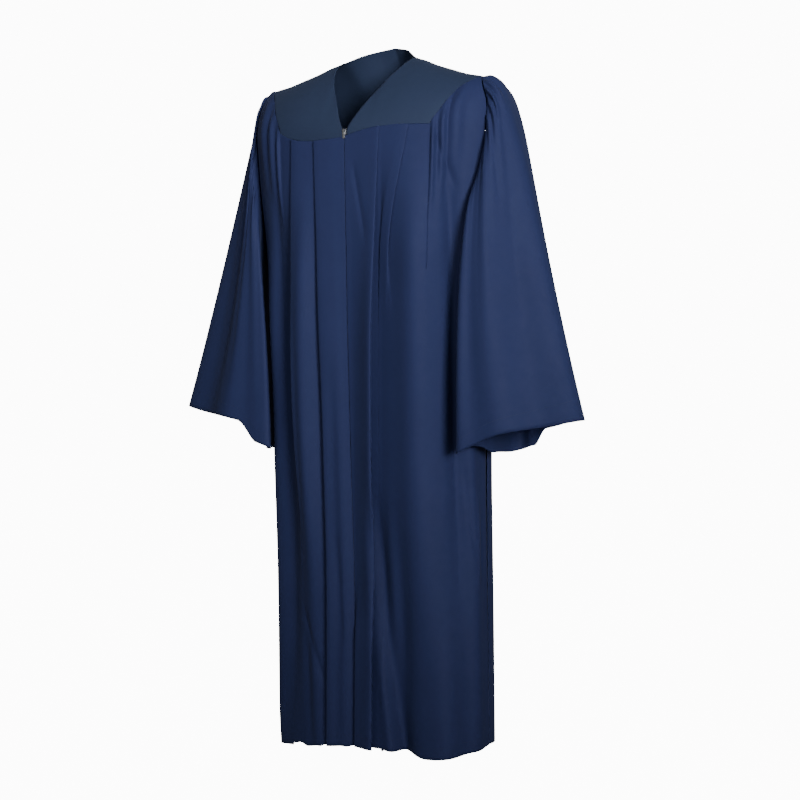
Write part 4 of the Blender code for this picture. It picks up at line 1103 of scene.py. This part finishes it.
def metal_finish(name, colour, roughness):
    """Plated metal with faint wear: noise varies its gloss and dims it slightly."""
    f = Finish(name)
    spots = f.node("ShaderNodeTexCoord", output=3)
    wear = f.node("ShaderNodeTexNoise", None, {"Vector": spots, "Scale": 700.0, "Detail": 5.0})
    bright = tuple(colour) + (1.0,)
    dim = tuple(0.72 * c for c in colour) + (1.0,)
    bump = f.node("ShaderNodeBump", None, {"Strength": 0.15, "Distance": 0.00005, "Height": wear})
    return f.set(Base_Color=f.mix_colour(wear, bright, dim), Roughness=roughness + 0.18 * wear,
                 Metallic=1.0, Normal=bump)


def thread_finish(name, colour):
    """Sewing thread: a twist drawn as slanted waves along the object."""
    f = Finish(name)
    spots = f.node("ShaderNodeTexCoord", output=3)
    twist = f.node("ShaderNodeTexWave", None, {"Vector": spots, "Scale": 900.0, "Distortion": 2.0})
    dark = tuple(0.7 * c for c in colour) + (1.0,)
    bump = f.node("ShaderNodeBump", None, {"Strength": 0.4, "Distance": 0.00008, "Height": twist})
    return f.set(Base_Color=f.mix_colour(twist, dark, tuple(colour) + (1.0,)), Roughness=0.55 + 0.1 * twist,
                 Normal=bump, Sheen_Weight=0.03, Specular_IOR_Level=0.2)


class GownCloth(bpy.types.PropertyGroup):
    """Sizes and colours of the cloth."""

    wall: bpy.props.FloatProperty(
        name="Cloth", description="Thickness of the cloth", default=0.0006, min=0.0002, max=0.002,
        unit="LENGTH", precision=5)
    crease_depth: bpy.props.FloatProperty(
        name="Creases", description="How deep the fine creases are, 1 as in the photograph",
        default=1.0, min=0.0, max=2.0)
    sheen: bpy.props.FloatProperty(
        name="Sheen", description="How much the cloth's nap catches light", default=0.03, min=0.0, max=1.0,
        subtype="FACTOR")
    colour: bpy.props.FloatVectorProperty(
        name="Cloth colour", description="Dye of the cloth", default=(0.0140, 0.0202, 0.0680), size=3,
        min=0.0, max=1.0, subtype="COLOR")
    # Painted sheen: the yokes' colour is the cloth's dye made lighter and greyer to stand in for light from
    # above on their upward-facing cloth, not a different cut of the weave
    yoke_colour_painted_sheen: bpy.props.FloatVectorProperty(
        name="Yoke colour", description="Dye of the yokes, cut across the weave and so a little greyer",
        default=(0.0168, 0.0268, 0.0590), size=3, min=0.0, max=1.0, subtype="COLOR")
    thread: bpy.props.FloatVectorProperty(
        name="Thread colour", description="Colour of the sewing thread", default=(0.009, 0.017, 0.052),
        size=3, min=0.0, max=1.0, subtype="COLOR")


class GownZip(bpy.types.PropertyGroup):
    """Sizes and colours of the zip."""

    metal: bpy.props.FloatVectorProperty(
        name="Metal", description="Colour of the slider and its tab", default=(0.72, 0.73, 0.76), size=3,
        min=0.0, max=1.0, subtype="COLOR")
    tooth_pitch: bpy.props.FloatProperty(
        name="Tooth pitch", description="Distance from one tooth to the next", default=0.0014,
        min=0.0008, max=0.004, unit="LENGTH", precision=5)


class GownStudio(bpy.types.PropertyGroup):
    """Camera and lights."""

    distance: bpy.props.FloatProperty(
        name="Camera distance", description="From the camera to the gown's middle", default=3.5,
        min=1.0, max=10.0, unit="LENGTH")
    turn: bpy.props.FloatProperty(
        name="Camera turn", description="How far round to the wearer's left the camera stands",
        default=math.radians(30.0), subtype="ANGLE")
    tilt: bpy.props.FloatProperty(
        name="Camera tilt", description="How far the camera looks down", default=math.radians(1.5),
        subtype="ANGLE")
    key: bpy.props.FloatProperty(
        name="Key light", description="Power of the main light in watts", default=21.0, min=0.0, max=2000.0)
    fill: bpy.props.FloatProperty(
        name="Fill light", description="Power of the fill light in watts", default=6.5, min=0.0, max=2000.0)


FINISHES = {}


def finish_of(key, maker, *values):
    """A material made once and shared by the pieces that have the same finish."""
    if key not in FINISHES:
        FINISHES[key] = maker(key, *values)
    return FINISHES[key]


def outward_from_axis(grid):
    """Direction away from the body's middle line, at each point of a grid."""
    out = grid.copy()
    out[..., 1] -= 0.01
    out[..., 2] = 0.0
    return out


def dress(thing, node):
    """Puts a cloth piece in its node's place: it rides on the gown, and the node's own solid is hidden."""
    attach(thing, "gown")
    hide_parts(node)
    return thing


def sew(name, lines, cloth):
    """Sewn rows along some lines, in the gown's thread."""
    thread = finish_of("gown_thread", thread_finish, tuple(cloth.thread))
    stitches = stitch_rows(name, lines, thread)
    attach(stitches, "gown")
    return stitches


class GOWN_OT_fronts(bpy.types.Operator):
    """Make the two fronts with their knife pleats, flutes and folds"""

    bl_idname = "gown.fronts"
    bl_label = "Fronts"

    def execute(self, context):
        cloth = context.scene.gown_cloth
        finish = finish_of("gown_cloth", cloth_finish, tuple(cloth.colour), cloth.sheen)
        for side, flat in (("left", (0.40, 1.21)), ("right", (0.385, 1.21))):
            grid = front_surface(side, cloth.crease_depth)
            out = outward_from_axis(grid)
            thing = cloth_piece(f"front_cloth_{side}", grid, finish, cloth.wall, -out)
            line = seam_line(grid, out, cloth.wall, row=-4)
            sewn = sew(f"front_hem_{side}", [line], cloth)
            dress(thing, f"front_{side}")
        return {"FINISHED"}


class GOWN_OT_back(bpy.types.Operator):
    """Make the gathered back"""

    bl_idname = "gown.back"
    bl_label = "Back"

    def execute(self, context):
        cloth = context.scene.gown_cloth
        finish = finish_of("gown_cloth", cloth_finish, tuple(cloth.colour), cloth.sheen)
        grid = back_surface(cloth.crease_depth)
        out = outward_from_axis(grid)
        thing = cloth_piece("back_cloth", grid, finish, cloth.wall, -out)
        sewn = sew("back_hem", [seam_line(grid, out, cloth.wall, row=-4)], cloth)
        dress(thing, "back")
        return {"FINISHED"}


class GOWN_OT_yokes(bpy.types.Operator):
    """Make the back yoke and the two front yokes"""

    bl_idname = "gown.yokes"
    bl_label = "Yokes"

    def execute(self, context):
        cloth = context.scene.gown_cloth
        # The yokes' material carries painted sheen: its greyer, lighter colour stands in for light from
        # above
        finish = finish_of("gown_yoke", cloth_finish, tuple(cloth.yoke_colour_painted_sheen), cloth.sheen)
        wall = cloth.wall * 1.6
        for side in ("left", "right"):
            grid = front_yoke_surface(side)
            out = np.zeros_like(grid) + np.array([0.0, -0.5, 1.0])
            thing = cloth_piece(f"yoke_front_cloth_{side}", grid, finish, wall, -out)
            lines = [seam_line(grid, out, wall, row=3), seam_line(grid[2:], out[2:], wall, col=1)]
            sewn = sew(f"yoke_front_sewing_{side}", lines, cloth)
            dress(thing, f"yoke_front_{side}")
        grid = back_yoke_surface()
        out = np.zeros_like(grid) + np.array([0.0, 0.5, 1.0])
        thing = cloth_piece("yoke_back_cloth", grid, finish, wall, -out)
        lines = [seam_line(grid, out, wall, row=-2), seam_line(grid, out, wall, row=1)]
        sewn = sew("yoke_back_sewing", lines, cloth)
        dress(thing, "yoke_back")
        return {"FINISHED"}


class GOWN_OT_sleeves(bpy.types.Operator):
    """Make the two bell sleeves"""

    bl_idname = "gown.sleeves"
    bl_label = "Sleeves"

    def execute(self, context):
        cloth = context.scene.gown_cloth
        finish = finish_of("gown_cloth", cloth_finish, tuple(cloth.colour), cloth.sheen)
        for side, flat in (("left", (0.52, 0.64)), ("right", (0.48, 0.63))):
            grid = sleeve_surface(side, cloth.crease_depth)
            out = grid - grid.mean(axis=1, keepdims=True)
            thing = cloth_piece(f"sleeve_cloth_{side}", grid, finish, cloth.wall, -out, closed=True)
            line = seam_line(grid, out, cloth.wall, row=-5, closed=True)
            sewn = sew(f"cuff_hem_{side}", [line], cloth)
            dress(thing, f"sleeve_{side}")
        return {"FINISHED"}


class GOWN_OT_zip(bpy.types.Operator):
    """Finish the zip: tape, teeth, slider and tab"""

    bl_idname = "gown.zip"
    bl_label = "Zip"

    def execute(self, context):
        settings = context.scene.gown_zip
        metal = finish_of("gown_metal", metal_finish, tuple(settings.metal), 0.16)
        tape = finish_of("gown_tape", thread_finish, (0.010, 0.014, 0.034))
        for node, finish in (("zip_slider", metal), ("zip_pull_tab", metal), ("zip_tape", tape)):
            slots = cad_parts[node].material_slots
            slots[0].material = finish
        height = np.arange(ZIP_FOOT, V_BASE_HEIGHT - 0.012, settings.tooth_pitch)
        middle, face = tape_face(height)
        side = np.where(np.arange(len(height)) % 2 == 0, 1.0, -1.0)
        centres = np.stack([middle + side * 0.0007, face - 0.00025, height], axis=-1)
        size = (TOOTH_WIDTH, 0.0005, 0.72 * settings.tooth_pitch)
        teeth = bricks("zip_teeth", centres, size, tape)
        height = np.full(2, V_BASE_HEIGHT + 0.0001)
        middle, face = tape_face(height)
        centres = np.stack([middle + np.array([-0.0036, 0.0036]), face - 0.0005, height], axis=-1)
        stops = bricks("zip_top_stops", centres, (0.0020, 0.0010, 0.0016), metal)
        for thing, slot_name in ((teeth, "zip_tape"), (stops, "zip_slider")):
            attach(thing, "gown")
        return {"FINISHED"}


def area_light(name, place, target, size, power, spread):
    light = bpy.data.lights.new(name, "AREA")
    light.shape = "RECTANGLE"
    light.size, light.size_y = size
    light.energy = power
    light.spread = math.radians(spread)
    thing = bpy.data.objects.new(name, light)
    bpy.context.scene.collection.objects.link(thing)
    thing.location = place
    thing.rotation_euler = (Vector(target) - Vector(place)).to_track_quat("-Z", "Y").to_euler()
    return thing


BACKDROP_GLOW = 12.0
ROOM_GLOW = 0.20


def white_backdrop(scene):
    """A world that looks white to the camera, and lights the cloth only a little."""
    world = bpy.data.worlds.new("gown_world")
    world.use_nodes = True
    tree = world.node_tree
    path = tree.nodes.new("ShaderNodeLightPath")
    choose = tree.nodes.new("ShaderNodeMixShader")
    room = tree.nodes["Background"]
    seen = tree.nodes.new("ShaderNodeBackground")
    for sky, strength in ((room, ROOM_GLOW), (seen, BACKDROP_GLOW)):
        sky.inputs[0].default_value = (1.0, 1.0, 1.0, 1.0)
        sky.inputs[1].default_value = strength
    tree.links.new(path.outputs["Is Camera Ray"], choose.inputs[0])
    tree.links.new(room.outputs[0], choose.inputs[1])
    tree.links.new(seen.outputs[0], choose.inputs[2])
    tree.links.new(choose.outputs[0], tree.nodes["World Output"].inputs[0])
    scene.world = world


class GOWN_OT_studio(bpy.types.Operator):
    """Make the camera, the lights and the pale floor"""

    bl_idname = "gown.studio"
    bl_label = "Studio"

    def execute(self, context):
        studio = context.scene.gown_studio
        scene = context.scene
        middle = Vector((0.0, 0.0, -0.5))
        away = Vector((math.sin(studio.turn), -math.cos(studio.turn), 0.0))
        lens = bpy.data.cameras.new("gown_camera")
        lens.lens = 78.75
        lens.sensor_width = 36.0
        lens.shift_x = 0.0219
        lens.shift_y = -0.0551
        camera = bpy.data.objects.new("gown_camera", lens)
        scene.collection.objects.link(camera)
        camera.location = middle + away * studio.distance
        aim = -away + Vector((0.0, 0.0, -math.tan(studio.tilt)))
        camera.rotation_euler = aim.to_track_quat("-Z", "Y").to_euler()
        scene.camera = camera
        area_light("key_light", (4.2, -3.9, 0.5), (-0.05, 0, -0.10), (1.5, 1.5), studio.key, 34)
        area_light("fill_light", (0.2, -3.4, 1.2), (0, 0, -0.15), (1.4, 1.2), studio.fill, 70)
        area_light("back_light", (0.4, 3.0, 1.6), (0, 0, -0.6), (2.2, 1.6), studio.fill, 150)
        white_backdrop(scene)
        floor_points = np.array([(-6, -6, -1.46), (6, -6, -1.46), (6, 6, -1.46), (-6, 6, -1.46)], float)
        pale = Finish("floor_paint")
        seen = pale.node("ShaderNodeLightPath")
        glow = pale.mix_colour(seen, (0.0, 0.0, 0.0, 1.0), (1.0, 1.0, 1.0, 1.0))
        paint = pale.set(Base_Color=(0.3, 0.3, 0.3, 1.0), Roughness=0.9, Emission_Color=glow,
                         Emission_Strength=BACKDROP_GLOW)
        floor = mesh_from("floor", floor_points, np.array([[0, 1, 2, 3]]), paint)
        return {"FINISHED"}


STEPS = (GOWN_OT_fronts, GOWN_OT_back, GOWN_OT_yokes, GOWN_OT_sleeves, GOWN_OT_zip, GOWN_OT_studio)


class GOWN_PT_panel(bpy.types.Panel):
    """Lists the gown's pieces and their settings"""

    bl_label = "Gown"
    bl_idname = "GOWN_PT_panel"
    bl_space_type = "VIEW_3D"
    bl_region_type = "UI"
    bl_category = "Gown"

    def draw(self, context):
        layout = self.layout
        for group in (context.scene.gown_cloth, context.scene.gown_zip, context.scene.gown_studio):
            box = layout.box()
            for key in group.__annotations__:
                box.prop(group, key)
        for step in STEPS:
            layout.operator(step.bl_idname)


GROUPS = (("gown_cloth", GownCloth), ("gown_zip", GownZip), ("gown_studio", GownStudio))


def register():
    for _, group in GROUPS:
        bpy.utils.register_class(group)
    for step in STEPS:
        bpy.utils.register_class(step)
    bpy.utils.register_class(GOWN_PT_panel)
    for key, group in GROUPS:
        setattr(bpy.types.Scene, key, bpy.props.PointerProperty(type=group))


def unregister():
    for key, _ in GROUPS:
        delattr(bpy.types.Scene, key)
    bpy.utils.unregister_class(GOWN_PT_panel)
    for step in reversed(STEPS):
        bpy.utils.unregister_class(step)
    for _, group in reversed(GROUPS):
        bpy.utils.unregister_class(group)


def main():
    register()
    for step in STEPS:
        group, name = step.bl_idname.split(".")
        getattr(getattr(bpy.ops, group), name)()


if __name__ == "__main__":
    main()
